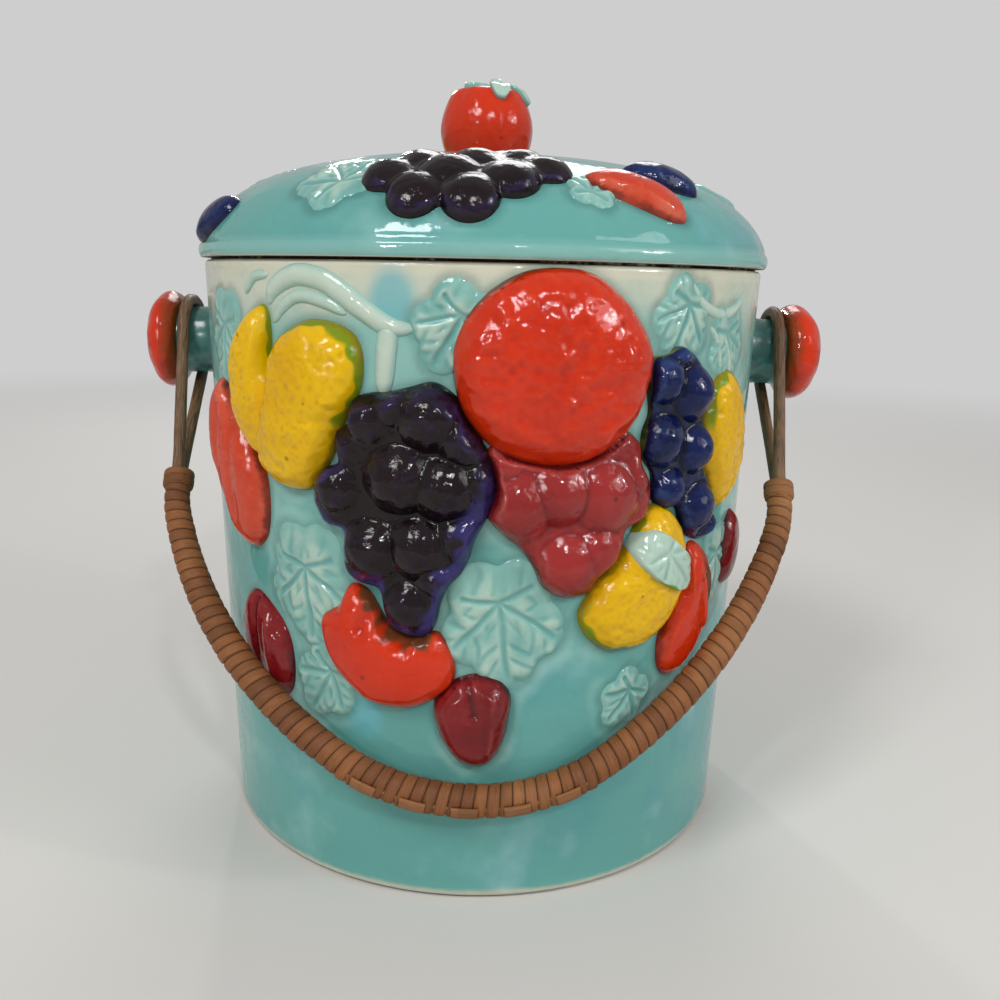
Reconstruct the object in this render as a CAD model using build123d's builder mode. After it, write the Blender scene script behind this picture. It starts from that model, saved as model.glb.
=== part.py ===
"""Glazed earthenware biscuit jar: a tapered body with raised fruit, a lift-off lid and a cane-bound bail.

Millimetres. The origin is the middle of the foot ring on the table, +Z is up and -Y is the front.
The bail hangs from two lugs on the X axis and rests forward against the wall.
"""
import os
from math import acos, atan2, cos, hypot, radians, sin, sqrt, tan

from build123d import *

os.makedirs("parts", exist_ok=True)

# --- jar body ---------------------------------------------------------------------------------
body_height = 136.7
rim_radius = 68.0
foot_radius = 64.0
wall = 5.0
floor_thickness = 7.0
foot_ring_width = 5.0
foot_recess = 1.8
foot_edge_rounding = 2.4
rim_rounding = 1.1
inner_corner_rounding = 5.0

# --- lid --------------------------------------------------------------------------------------
lid_overhang = 1.3           # how far the lid's bead stands outside the rim
lid_crown = 25.0             # top of the lid above the rim
lid_edge_gap = 1.3           # dark line under the bead
bead_height = 2.4
lid_thickness = 4.6
flange_play = 0.8            # radial play of the locating flange in the mouth
flange_thickness = 3.8
flange_depth = 6.0
seat_width = 3.6             # ring of the lid that rests on the rim
bead_inset = 0.7             # the bead swells by this much between its edges
crown_power = 3              # 2 gives an elliptic dome, more gives a flatter one
crown_stations = (0.0, 0.25, 0.45, 0.62, 0.75, 0.85, 0.92, 0.965)
lid_seat_round = 80.0        # the crown's sideways roundness where its fruit sits

# --- knob -------------------------------------------------------------------------------------
knob_radius = 11.0
knob_foot_radius = 9.4
knob_height = 17.2           # above the crown
knob_belly_height = 10.3     # widest place above the crown
knob_shoulder_radius = 7.3   # where the top starts to dip
knob_shoulder_drop = 0.6
knob_dimple = 1.0
calyx_thickness = 0.9
calyx_radius = 7.2
calyx_leaf_width = 3.6
calyx_leaves = 5
calyx_middle_radius = 2.2
stem_radius = 1.7
stem_height = 2.2            # above the knob

# --- lugs -------------------------------------------------------------------------------------
hinge_drop = 19.7            # hinge axis below the rim
neck_radius = 8.2
neck_flare = 1.2             # the neck widens by this at the wall and under the cap
neck_flare_length = 1.8      # how far the flare at the wall reaches along the neck
neck_length = 10.2           # wall to cap
cap_radius = 12.1
cap_thickness = 8.7
cap_outer_rounding = 6.5
cap_inner_rounding = 1.9

# --- bail -------------------------------------------------------------------------------------
cane_radius = 1.45
strand_gap = 0.1             # between the two strands where they enter the grip
loop_clearance = 0.4         # cane loop to neck
loop_cap_gap = 2.2           # cane loop to cap
loop_lean = 2.5              # degrees, the loops lean out towards the caps
loop_throat = 36.0           # hinge axis to where the strands run together
loop_throat_rounding = 25.0
core_radius = 3.0
binding_thickness = 0.5
grip_start = 38.0            # hinge axis to the end of the binding
collar_length = 4.4
collar_thickness = 0.6
strand_tail = 4.0            # how far the strands run into the binding
shoulder_radius = 30.0
rest_height = 26.9           # middle of the grip above the table, bail at rest
rest_gap = 0.5               # grip to wall, bail at rest
grip_low = {"left": (54.4, 33.0), "right": (49.9, 35.0)}    # radius and swing in degrees of the lowest arc
rib_tilt = 30.0              # degrees, the rib lies between the grip's underside and its front
rib_width = 2.2
rib_thickness = 0.5

# --- raised fruit -----------------------------------------------------------------------------
wall_layout_radius = 66.0    # turns on the wall are degrees at this radius, so fruit keeps its spacing
lid_layout_radius = 69.3     # turns on the lid are degrees at this one
leaf_thickness = 1.3
vine_thickness = 1.1
vine_width = 2.6
sprig_overlap = 8.0          # how deep the unseen part of a fruit runs before the wall cuts it
cut_margin = 20.0            # the cutting wall runs past the rim and the foot by this much
berry_poles = (40.0, 15.0, 0.0)    # degrees; a berry's poles are turned away from the wall's cut
lemon_tip = (0.75, 0.65)     # slope of a lemon's outline at its two tips
pepper_belly = (0.94, 0.35)  # a pepper's widest place, as shares of its half width and half length
pepper_shoulder = (0.72, 0.45)

hinge_height = body_height - hinge_drop
mouth_radius = rim_radius - wall


def wall_radius(height):
    """Outer radius of the body's wall, a straight taper from foot to rim."""
    return foot_radius + (rim_radius - foot_radius) * height / body_height


def wall_place(turn, drop, lean=0.0, rise=0.0):
    """Plane on the wall: x runs round to the right, y up and z out; turn is measured from the front."""
    height = body_height - drop
    radius = wall_radius(height) + rise
    angle = radians(turn) * wall_layout_radius / ((foot_radius + rim_radius) / 2)
    around, up = (cos(angle), sin(angle), 0), (0, 0, 1)
    along = Vector(*around) * cos(radians(lean)) + Vector(*up) * sin(radians(lean))
    out = (sin(angle), -cos(angle), 0)
    return Plane(origin=(radius * out[0], radius * out[1], height), x_dir=along, z_dir=out)


def dome_section(seat_radius, half_width, rise):
    """Radius and sunk depth of a round section that stands rise proud and is half_width wide on the seat."""
    swing = half_width / seat_radius
    crest = seat_radius + rise
    radius = (seat_radius**2 + crest**2 - 2 * seat_radius * crest * cos(swing)) / (
        2 * (crest - seat_radius * cos(swing))
    )
    return radius, radius - rise


def turned_fruit(place, half_width, half_length, rise, shape="oval", seat_radius=None):
    """Add a fruit turned about its own long axis, which lies under the surface at the given place."""
    seat_radius = seat_radius or hypot(place.origin.X, place.origin.Y)
    radius, depth = dome_section(seat_radius, half_width, rise)
    reach = half_length / sqrt(max(1 - (depth / radius) ** 2, 0.05)) if depth > 0 else half_length
    core = place.offset(-depth)
    with BuildSketch(core) as section:
        with BuildLine():
            if shape == "oval":
                EllipticalCenterArc((0, 0), radius, reach, start_angle=-90, arc_size=180)
            elif shape == "lemon":
                tip_out, tip_up = lemon_tip
                Spline(
                    (0, -reach), (radius, 0), (0, reach), tangents=((tip_out, tip_up), (-tip_out, tip_up))
                )
            elif shape == "pepper":
                Spline(
                    (0, -reach),
                    (radius * pepper_belly[0], -reach * pepper_belly[1]),
                    (radius * pepper_shoulder[0], reach * pepper_shoulder[1]),
                    (0, reach),
                    tangents=((1, 0), (-1, 1)),
                )
            Line((0, reach), (0, -reach))
        make_face()
    revolve(section.sketch, axis=Axis(core.origin, core.y_dir))


def berries(centres, place_of, blank):
    """Add a bunch of round berries, each given as turn, drop, radius and how far it stands proud."""
    for turn, drop, radius, rise in centres:
        with BuildPart(mode=Mode.PRIVATE) as berry:
            with Locations(Location(place_of(turn, drop).offset(rise - radius)) * Rotation(*berry_poles)):
                Sphere(radius)
            add(blank, mode=Mode.SUBTRACT)
        add(berry.part)


def leaf_lobes(lobes, blank):
    """Add a leaf of oval lobes, each given as turn, drop, half length, half width and lean."""
    for turn, drop, half_length, half_width, lean in lobes:
        with BuildSketch(wall_place(turn, drop, lean, rise=-sprig_overlap)) as outline:
            Ellipse(half_width, half_length)
        extrude(outline.sketch, amount=2 * sprig_overlap)
    add(blank, mode=Mode.INTERSECT)


def cut_back(*pieces):
    """Cut the current piece back to the wall and to the pieces that overlie it."""
    for piece in pieces:
        add(piece, mode=Mode.SUBTRACT)


def keep(name, piece):
    """Label a finished piece and write it."""
    piece.label = name
    export_step(piece, f"parts/{name}.step")


def keep_pair(name, piece):
    """Write a piece on the front of the jar and its twin, half a turn round, on the back."""
    keep(f"{name}_front", piece)
    with BuildPart() as twin:
        with Locations(Rotation(0, 0, 180)):
            add(piece)
    keep(f"{name}_back", twin.part)


# --- body -------------------------------------------------------------------------------------
with BuildPart() as jar_body:
    with BuildSketch(Plane.XZ):
        with BuildLine():
            foot_inner = foot_radius - foot_edge_rounding - foot_ring_width
            Polyline(
                (0, foot_recess),
                (foot_inner - foot_recess, foot_recess),
                (foot_inner, 0),
                (foot_radius, 0),
                (rim_radius, body_height),
                (mouth_radius, body_height),
                (foot_radius - wall, floor_thickness),
                (0, floor_thickness),
                close=True,
            )
        make_face()
    revolve(axis=Axis.Z)
    round_edges = jar_body.edges().filter_by(GeomType.CIRCLE)
    fillet(round_edges.filter_by(lambda e: abs(e.radius - foot_radius) < 0.01), foot_edge_rounding)
    fillet(round_edges.filter_by(lambda e: abs(e.radius - rim_radius) < 0.01), rim_rounding)
    fillet(round_edges.filter_by(lambda e: abs(e.radius - mouth_radius) < 0.01), rim_rounding)
    fillet(
        round_edges.filter_by(lambda e: abs(e.radius - foot_radius + wall) < 0.01),
        inner_corner_rounding,
    )
keep("jar_body", jar_body.part)

# the full wall as a solid of revolution, for cutting what stands on it
with BuildPart() as wall_blank:
    with BuildSketch(Plane.XZ):
        with BuildLine():
            Polyline(
                (0, -cut_margin),
                (wall_radius(-cut_margin), -cut_margin),
                (wall_radius(body_height + cut_margin), body_height + cut_margin),
                (0, body_height + cut_margin),
                close=True,
            )
        make_face()
    revolve(axis=Axis.Z)


def wall_skin(thickness):
    """A skin of even thickness on the outside of the wall."""
    with BuildPart() as skin:
        with BuildSketch(Plane.XZ):
            with BuildLine():
                Polyline(
                    (foot_radius, 0),
                    (foot_radius + thickness, 0),
                    (rim_radius + thickness, body_height),
                    (rim_radius, body_height),
                    close=True,
                )
            make_face()
        revolve(axis=Axis.Z)
    return skin.part


# --- lugs -------------------------------------------------------------------------------------
hinge_wall = wall_radius(hinge_height)
cap_seat = hinge_wall + neck_length
hinge_line = Plane(origin=(0, 0, hinge_height), x_dir=(1, 0, 0), z_dir=(0, -1, 0))
loop_middle = cap_seat - loop_cap_gap - cane_radius
for side, sign in (("left", -1), ("right", 1)):
    with BuildPart() as lug_neck:
        with BuildSketch(hinge_line):
            with BuildLine():
                Polyline(
                    (sign * (hinge_wall - sprig_overlap), 0),
                    (sign * (hinge_wall - sprig_overlap), neck_radius + neck_flare),
                    (sign * hinge_wall, neck_radius + neck_flare),
                    (sign * (hinge_wall + neck_flare_length), neck_radius),
                    (sign * (cap_seat - neck_flare), neck_radius),
                    (sign * cap_seat, neck_radius + neck_flare),
                    (sign * cap_seat, 0),
                    close=True,
                )
            make_face()
        revolve(axis=Axis((0, 0, hinge_height), (1, 0, 0)))
        cut_back(wall_blank.part)
    keep(f"lug_neck_{side}", lug_neck.part)

    with BuildPart() as lug_cap:
        with BuildSketch(Plane(origin=(sign * cap_seat, 0, hinge_height), z_dir=(sign, 0, 0))):
            Circle(cap_radius)
        extrude(amount=cap_thickness)
        outer_face = lug_cap.faces().sort_by(Axis.X)[-1 if sign > 0 else 0]
        inner_face = lug_cap.faces().sort_by(Axis.X)[0 if sign > 0 else -1]
        fillet(outer_face.edges(), cap_outer_rounding)
        fillet(inner_face.edges(), cap_inner_rounding)
    keep(f"lug_cap_{side}", lug_cap.part)

# --- raised fruit on the wall: turn in degrees from the front, drop in mm below the rim -------
with BuildPart() as orange:
    turned_fruit(wall_place(12.3, 19.7), 20.0, 18.6, 8.4)
    cut_back(wall_blank.part)
keep_pair("orange", orange.part)

blackberry_centres = [
    (-18.8, 30.0, 5.2, 5.6),
    (-8.2, 29.0, 6.4, 6.6),
    (-24.8, 44.0, 6.0, 5.4),
    (-14.0, 41.0, 6.8, 7.4),
    (-4.8, 42.5, 6.6, 7.2),
    (-18.4, 56.0, 6.8, 6.8),
    (-9.8, 55.0, 6.6, 7.0),
    (-3.2, 53.5, 5.6, 5.6),
    (-11.8, 67.0, 6.4, 6.0),
    (0.4, 41.2, 4.8, 4.8),
    (-6.4, 62.2, 5.0, 5.2),
]
with BuildPart() as blackberries:
    turned_fruit(wall_place(-11.6, 45.6), 12.6, 22.0, 3.6)
    cut_back(wall_blank.part)
    berries(blackberry_centres, wall_place, wall_blank.part)
    cut_back(orange.part)
keep_pair("blackberries", blackberries.part)

maroon_grape_centres = [
    (7.2, 46.6, 6.6, 6.2),
    (13.8, 44.4, 6.2, 5.4),
    (21.8, 44.8, 7.0, 6.2),
    (27.2, 42.0, 4.6, 4.0),
    (14.8, 58.8, 6.8, 6.0),
    (21.2, 57.0, 5.4, 4.8),
]
with BuildPart() as maroon_grapes:
    turned_fruit(wall_place(16.0, 48.0), 14.0, 11.0, 3.4)
    cut_back(wall_blank.part)
    berries(maroon_grape_centres, wall_place, wall_blank.part)
    cut_back(orange.part, blackberries.part)
keep_pair("maroon_grapes", maroon_grapes.part)

blue_grape_centres = [
    (33.6, 21.6, 5.0, 4.8),
    (40.4, 24.4, 5.4, 5.6),
    (33.6, 34.0, 5.4, 5.2),
    (41.6, 37.0, 5.0, 5.2),
    (36.4, 45.0, 4.4, 4.4),
    (43.6, 49.8, 5.4, 5.4),
    (47.8, 55.2, 3.4, 3.2),
]
with BuildPart() as blue_grapes:
    turned_fruit(wall_place(39.4, 37.0, -14.0), 7.6, 18.6, 3.0)
    cut_back(wall_blank.part)
    berries(blue_grape_centres, wall_place, wall_blank.part)
    cut_back(orange.part, maroon_grapes.part)
keep_pair("blue_grapes", blue_grapes.part)

low_lemon_place = wall_place(29.6, 64.8, -38.0)
low_lemon_size = (12.6, 17.2, 6.2)
with BuildPart() as lemon_low:
    turned_fruit(low_lemon_place, *low_lemon_size, "lemon")
    cut_back(wall_blank.part, maroon_grapes.part, blue_grapes.part)
keep_pair("lemon_low", lemon_low.part)

with BuildPart() as lemon_leaf:
    turned_fruit(
        low_lemon_place,
        *(size + leaf_thickness for size in low_lemon_size),
        "lemon",
    )
    with BuildSketch(wall_place(34.2, 59.6, 42.0, rise=-sprig_overlap)):
        Ellipse(4.6, 9.2)
    extrude(amount=3 * sprig_overlap, mode=Mode.INTERSECT)
    cut_back(wall_blank.part, maroon_grapes.part, blue_grapes.part, lemon_low.part)
keep_pair("lemon_leaf", lemon_leaf.part)

with BuildPart() as tomato:
    turned_fruit(wall_place(-16.4, 81.8, 80.0), 9.6, 15.2, 6.0)
    turned_fruit(wall_place(-22.4, 72.0, 14.0), 4.4, 8.0, 4.4, "pepper")
    cut_back(wall_blank.part, blackberries.part)
keep_pair("tomato", tomato.part)

with BuildPart() as lemon_high:
    turned_fruit(wall_place(-30.6, 29.0, -16.0), 12.0, 18.0, 6.6, "lemon")
    cut_back(wall_blank.part, blackberries.part)
keep_pair("lemon_high", lemon_high.part)

with BuildPart() as banana:
    turned_fruit(wall_place(-43.8, 27.4, 6.0), 6.6, 17.6, 5.2)
    cut_back(wall_blank.part, lemon_high.part, blackberries.part)
keep_pair("banana", banana.part)

with BuildPart() as pepper:
    turned_fruit(wall_place(-57.0, 43.8, 4.0), 14.2, 18.0, 6.2, "pepper")
    cut_back(wall_blank.part, banana.part, lemon_high.part)
keep_pair("pepper", pepper.part)

with BuildPart() as chilli:
    turned_fruit(wall_place(42.6, 72.6, -12.0), 7.6, 15.4, 4.6)
    cut_back(wall_blank.part, lemon_low.part, lemon_leaf.part, blue_grapes.part)
keep_pair("chilli", chilli.part)

with BuildPart() as lemon_side:
    turned_fruit(wall_place(53.6, 37.2, 4.0), 11.0, 15.6, 5.8, "lemon")
    cut_back(wall_blank.part, blue_grapes.part)
keep_pair("lemon_side", lemon_side.part)

with BuildPart() as plum_middle:
    turned_fruit(wall_place(-0.7, 93.3), 8.4, 10.6, 5.4)
    cut_back(wall_blank.part, tomato.part)
keep_pair("plum_middle", plum_middle.part)

with BuildPart() as plum_left:
    turned_fruit(wall_place(-44.6, 83.0), 9.2, 10.2, 3.6)
    cut_back(wall_blank.part)
keep_pair("plum_left", plum_left.part)

with BuildPart() as plum_right:
    turned_fruit(wall_place(62.0, 64.0), 6.4, 9.0, 4.4)
    cut_back(wall_blank.part)
keep_pair("plum_right", plum_right.part)

fruits = [
    orange.part, blackberries.part, maroon_grapes.part, blue_grapes.part, lemon_low.part,
    lemon_leaf.part, tomato.part, lemon_high.part, banana.part, pepper.part, chilli.part,
    lemon_side.part, plum_middle.part, plum_left.part, plum_right.part,
]

leaf_skin = wall_skin(leaf_thickness)
leaves_by_place = {
    "left": [(-37.6, 61.0, 8.6, 5.8, 62.0), (-28.2, 60.4, 8.6, 5.8, -42.0), (-33.4, 73.0, 9.2, 5.6, 6.0)],
    "middle": [(0.6, 67.0, 8.6, 5.4, 30.0), (10.4, 66.0, 8.4, 5.4, -30.0), (7.4, 77.6, 8.6, 7.0, 8.0)],
    "low_left": [(-29.4, 90.4, 8.0, 6.0, -16.0)],
    "top": [(-7.4, 11.4, 11.4, 6.0, 14.0)],
    "top_right": [(36.6, 9.4, 7.4, 7.2, 0.0)],
    "far_right": [(52.6, 14.2, 6.2, 8.4, 0.0)],
    "far_left": [(-55.4, 16.2, 8.6, 7.4, 0.0)],
    "low_right": [(28.8, 90.4, 7.8, 4.6, -62.0)],
    "side_right": [(54.0, 65.0, 11.0, 4.2, 0.0)],
}
with BuildPart() as leaves:
    for lobes in leaves_by_place.values():
        with BuildPart(mode=Mode.PRIVATE) as leaf:
            leaf_lobes(lobes, leaf_skin)
        add(leaf.part)
    cut_back(*fruits)
keep_pair("leaves", leaves.part)

# the vine: a swag from the yellow fruit to the top leaf, with a stem down to the berries
vine_skin = wall_skin(vine_thickness)
vine_place = wall_place(-24.0, 7.0, rise=-sprig_overlap)
with BuildPart() as vines:
    with BuildSketch(vine_place) as vine_outline:
        with BuildLine():
            Spline((-18.5, -3.5), (-15.0, 1.5), (-8.0, 4.2), (-1.0, 2.4), (4.5, -2.6), (10.0, -5.4))
        trace(line_width=vine_width)
        with BuildLine():
            Spline((10.0, -4.6), (9.4, -10.0), (8.9, -17.8))
        trace(line_width=vine_width)
    extrude(vine_outline.sketch, amount=3 * sprig_overlap)
    add(vine_skin, mode=Mode.INTERSECT)
    cut_back(*fruits, leaves.part)
keep_pair("vines", vines.part)

# --- lid --------------------------------------------------------------------------------------
bead_radius = rim_radius + lid_overhang
bead_bottom = body_height + lid_edge_gap
seat_outer = mouth_radius + seat_width
flange_radius = mouth_radius - flange_play


def crown_height(reach, outer=bead_radius, crown=lid_crown):
    """Height of the lid's outside above the rim, a flattened dome that ends upright at its edge."""
    return crown * sqrt(1 - (reach / outer) ** crown_power)


def crown_points(outer, crown):
    """Points of a crown's outline from the middle outwards."""
    return [(outer * s, body_height + crown_height(outer * s, outer, crown)) for s in crown_stations]


def lid_place(turn, inset, lean=0.0, rise=0.0):
    """Plane on the lid, inset from its edge: x runs round to the right, y up the crown and z out."""
    reach = bead_radius - inset
    angle = radians(turn) * lid_layout_radius / bead_radius
    share = reach / bead_radius
    steepness = crown_power / 2 * share ** (crown_power - 1) / sqrt(1 - share**crown_power)
    tip = atan2(lid_crown * steepness, bead_radius)
    away = Vector(sin(angle), -cos(angle), 0)
    out = away * sin(tip) + Vector(0, 0, 1) * cos(tip)
    around = Vector(cos(angle), sin(angle), 0)
    up = out.cross(around)
    along = around * cos(radians(lean)) + up * sin(radians(lean))
    spot = away * reach + Vector(0, 0, body_height + crown_height(reach)) + out * rise
    return Plane(origin=spot, x_dir=along, z_dir=out)


crown_foot = (bead_radius - bead_inset, bead_bottom + bead_height)
with BuildPart() as lid:
    with BuildSketch(Plane.XZ):
        with BuildLine():
            outside = Spline(*crown_points(bead_radius, lid_crown), crown_foot)
            bead = ThreePointArc(
                crown_foot,
                (bead_radius, bead_bottom + bead_height / 2),
                (bead_radius - bead_inset, bead_bottom),
            )
            inner_crown = crown_points(flange_radius - flange_thickness, lid_crown - lid_thickness)
            Polyline(
                bead @ 1,
                (seat_outer, bead_bottom),
                (seat_outer, body_height),
                (flange_radius, body_height),
                (flange_radius, body_height - flange_depth),
                (flange_radius - flange_thickness, body_height - flange_depth),
                inner_crown[-1],
            )
            Spline(*inner_crown[::-1])
            Line(inner_crown[0], outside @ 0)
        make_face()
    revolve(axis=Axis.Z)
keep("lid", lid.part)

# everything under the lid's outside, for cutting what stands on it
with BuildPart() as lid_blank:
    with BuildSketch(Plane.XZ):
        with BuildLine():
            skyline = Spline(*crown_points(bead_radius, lid_crown), crown_foot)
            Polyline(skyline @ 1, (crown_foot[0], body_height - cut_margin), (0, body_height - cut_margin))
            Line((0, body_height - cut_margin), skyline @ 0)
        make_face()
    revolve(axis=Axis.Z)

# --- knob -------------------------------------------------------------------------------------
crown_top = body_height + lid_crown
knob_top = crown_top + knob_height


def knob_outline(skin):
    """Half outline of the knob's fruit, grown outwards by a skin."""
    Spline(
        (knob_foot_radius + skin, crown_top - lid_thickness / 2),
        (knob_radius + skin, crown_top + knob_belly_height),
        (knob_shoulder_radius + skin, knob_top - knob_shoulder_drop + skin),
        (0, knob_top - knob_dimple + skin),
        tangents=((0.1, 1), (-1, -0.25)),
    )


def knob_solid(skin):
    """The knob's fruit as a closed solid, grown outwards by a skin."""
    with BuildPart() as solid:
        with BuildSketch(Plane.XZ):
            with BuildLine():
                knob_outline(skin)
                base = crown_top - lid_thickness / 2
                Polyline((0, knob_top - knob_dimple + skin), (0, base), (knob_foot_radius + skin, base))
            make_face()
        revolve(axis=Axis.Z)
        add(lid_blank.part, mode=Mode.SUBTRACT)
    return solid.part


with BuildPart() as knob:
    add(knob_solid(0))
keep("knob", knob.part)

with BuildPart() as knob_calyx:
    add(knob_solid(calyx_thickness))
    with BuildSketch(Plane.XY.offset(knob_top - knob_radius)):
        with PolarLocations(calyx_radius / 2, calyx_leaves):
            Ellipse(calyx_radius / 2, calyx_leaf_width / 2)
        Circle(calyx_middle_radius)
    extrude(amount=2 * knob_radius, mode=Mode.INTERSECT)
    with Locations((0, 0, knob_top - knob_dimple)):
        Cylinder(stem_radius, knob_dimple + stem_height, align=(Align.CENTER, Align.CENTER, Align.MIN))
    cut_back(knob.part)
keep("knob_calyx", knob_calyx.part)

# --- raised fruit on the lid: turn in degrees from the front, inset in mm from the edge --------
lid_berry_centres = [
    (-12.0, 5.9, 5.2, 4.6),
    (-3.2, 5.3, 5.4, 4.8),
    (-17.6, 9.9, 4.8, 4.6),
    (-7.4, 11.1, 5.2, 5.0),
    (3.4, 9.7, 5.2, 5.0),
    (-13.2, 15.7, 4.8, 4.8),
    (-1.8, 16.7, 5.0, 5.0),
    (10.6, 14.7, 4.8, 4.8),
]
with BuildPart() as lid_berries:
    for turn, inset, radius, rise in lid_berry_centres:
        with Locations(Location(lid_place(turn, inset).offset(rise - radius).origin)):
            Sphere(radius)
    cut_back(lid_blank.part)
keep("lid_berries", lid_berries.part)

with BuildPart() as lid_pepper:
    turned_fruit(lid_place(29.0, 7.9, -66.0), 4.8, 11.0, 3.6, "pepper", lid_seat_round)
    cut_back(lid_blank.part, lid_berries.part)
keep("lid_pepper", lid_pepper.part)

with BuildPart() as lid_plum_right:
    turned_fruit(lid_place(41.0, 13.9, -70.0), 5.0, 9.6, 3.6, "oval", lid_seat_round)
    cut_back(lid_blank.part, lid_pepper.part)
keep("lid_plum_right", lid_plum_right.part)

with BuildPart() as lid_plum_left:
    turned_fruit(lid_place(-58.0, 7.3, 70.0), 5.2, 9.0, 3.6, "oval", lid_seat_round)
    cut_back(lid_blank.part)
keep("lid_plum_left", lid_plum_left.part)

with BuildPart() as lid_lemon:
    turned_fruit(lid_place(-122.0, 23.3, 60.0), 9.0, 14.0, 4.6, "lemon", lid_seat_round)
    cut_back(lid_blank.part)
keep("lid_lemon", lid_lemon.part)

with BuildPart() as lid_orange:
    turned_fruit(lid_place(168.0, 21.3), 13.0, 13.0, 5.6, "oval", lid_seat_round)
    cut_back(lid_blank.part)
keep("lid_orange", lid_orange.part)

lid_grape_centres = [
    (100.0, 25.3, 5.2, 4.8),
    (112.0, 23.3, 5.2, 5.0),
    (104.0, 16.3, 5.4, 5.2),
    (115.0, 14.3, 5.0, 4.8),
    (108.0, 8.3, 4.8, 4.4),
]
with BuildPart() as lid_grapes:
    for turn, inset, radius, rise in lid_grape_centres:
        with Locations(Location(lid_place(turn, inset).offset(rise - radius).origin)):
            Sphere(radius)
    cut_back(lid_blank.part)
keep("lid_grapes", lid_grapes.part)

with BuildPart() as lid_skin:
    with BuildSketch(Plane.XZ):
        with BuildLine():
            upper = Spline(*crown_points(bead_radius, lid_crown + leaf_thickness))
            Polyline(upper @ 1, ((upper @ 1).X, body_height - cut_margin), (0, body_height - cut_margin))
            Line((0, body_height - cut_margin), upper @ 0)
        make_face()
    revolve(axis=Axis.Z)
    cut_back(lid_blank.part)

lid_leaf_lobes = [
    (19.0, 7.3, 6.0, 4.6, -30.0),
    (-33.0, 10.3, 7.4, 5.4, 40.0),
    (-84.0, 15.3, 9.0, 6.0, 20.0),
    (70.0, 15.3, 9.0, 6.0, -20.0),
    (136.0, 17.3, 9.0, 6.0, 0.0),
    (-156.0, 15.3, 9.0, 6.0, 0.0),
]
with BuildPart() as lid_leaves:
    for turn, inset, half_length, half_width, lean in lid_leaf_lobes:
        with BuildPart(mode=Mode.PRIVATE) as lobe:
            with BuildSketch(lid_place(turn, inset, lean, rise=-sprig_overlap)):
                Ellipse(half_width, half_length)
            extrude(amount=2 * sprig_overlap)
            add(lid_skin.part, mode=Mode.INTERSECT)
        add(lobe.part)
    cut_back(
        lid_berries.part, lid_pepper.part, lid_plum_right.part, lid_plum_left.part,
        lid_lemon.part, lid_orange.part, lid_grapes.part,
    )
keep("lid_leaves", lid_leaves.part)

# --- bail -------------------------------------------------------------------------------------
binding_radius = core_radius + binding_thickness
rest_reach = wall_radius(rest_height) + binding_radius + rest_gap
bail_drop = hypot(hinge_height - rest_height, rest_reach)
bail_angle = atan2(rest_reach, hinge_height - rest_height)
bail_plane = Plane(
    origin=(0, 0, hinge_height), x_dir=(1, 0, 0), z_dir=(0, -cos(bail_angle), sin(bail_angle))
)
strand_offset = cane_radius + strand_gap / 2
lean = radians(loop_lean)


def grip_points(low_radius, swing):
    """Joints of one half of the grip's centre line, from its lowest point outwards and up.

    Three tangent arcs turn the line from level to the loop's lean. The lowest and the highest have
    named radii; the long one between them touches both. Returns (point, direction angle) pairs.
    """
    first, last = radians(swing), radians(90 - loop_lean)
    top = grip_start + collar_length
    end_x = loop_middle - top * tan(lean)
    first_point = (low_radius * sin(first), low_radius * (1 - cos(first)) - bail_drop)
    high_middle = (end_x - shoulder_radius * sin(last), -top + shoulder_radius * cos(last))
    # the long arc's middle lies on the normal at first_point, long_radius - shoulder_radius from high_middle
    away_x, away_y = first_point[0] - high_middle[0], first_point[1] - high_middle[1]
    normal_part = away_y * cos(first) - away_x * sin(first)
    long_radius = (shoulder_radius**2 - away_x**2 - away_y**2) / (2 * (normal_part + shoulder_radius))
    long_middle = (first_point[0] - long_radius * sin(first), first_point[1] + long_radius * cos(first))
    second = atan2(high_middle[0] - long_middle[0], long_middle[1] - high_middle[1])
    bend = (high_middle[0] + shoulder_radius * sin(second), high_middle[1] - shoulder_radius * cos(second))
    return [
        ((0, -bail_drop), 0.0),
        (first_point, first),
        (bend, second),
        ((end_x, -top), last),
    ]


def grip_line(joints):
    """Draw tangent arcs from joint to joint, each joint given as a point and the line's direction there."""
    for (start, angle), (stop, next_angle) in zip(joints, joints[1:]):
        chord = hypot(stop[0] - start[0], stop[1] - start[1])
        RadiusArc(start, stop, -chord / (2 * sin((next_angle - angle) / 2)))


left_joints = [((-x, y), -angle) for (x, y), angle in reversed(grip_points(*grip_low["left"]))]
right_joints = grip_points(*grip_low["right"])
grip_joints = left_joints + right_joints[1:]


def grip_straight(side_sign, end):
    """Ends of the straight stretch under a collar, from the last arc to the end of the grip."""
    top = grip_start + collar_length
    return tuple((side_sign * (loop_middle - s * tan(lean)), -s) for s in (top, end))


def grip_end_plane(side_sign, end):
    """Plane across the grip at its end, z pointing up out of the grip."""
    start = bail_plane.from_local_coords((side_sign * (loop_middle - end * tan(lean)), -end, 0))
    along = bail_plane.x_dir * (side_sign * sin(lean)) + bail_plane.y_dir * cos(lean)
    return Plane(origin=start, x_dir=bail_plane.z_dir, z_dir=along)


with BuildPart() as grip_core:
    with BuildLine(bail_plane) as core_line:
        Line(*grip_straight(-1, grip_start + strand_tail)[::-1])
        grip_line(grip_joints)
        Line(*grip_straight(1, grip_start + strand_tail))
    with BuildSketch(grip_end_plane(-1, grip_start + strand_tail)):
        Circle(core_radius)
    sweep(path=core_line.wire())
keep("grip_core", grip_core.part)

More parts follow.
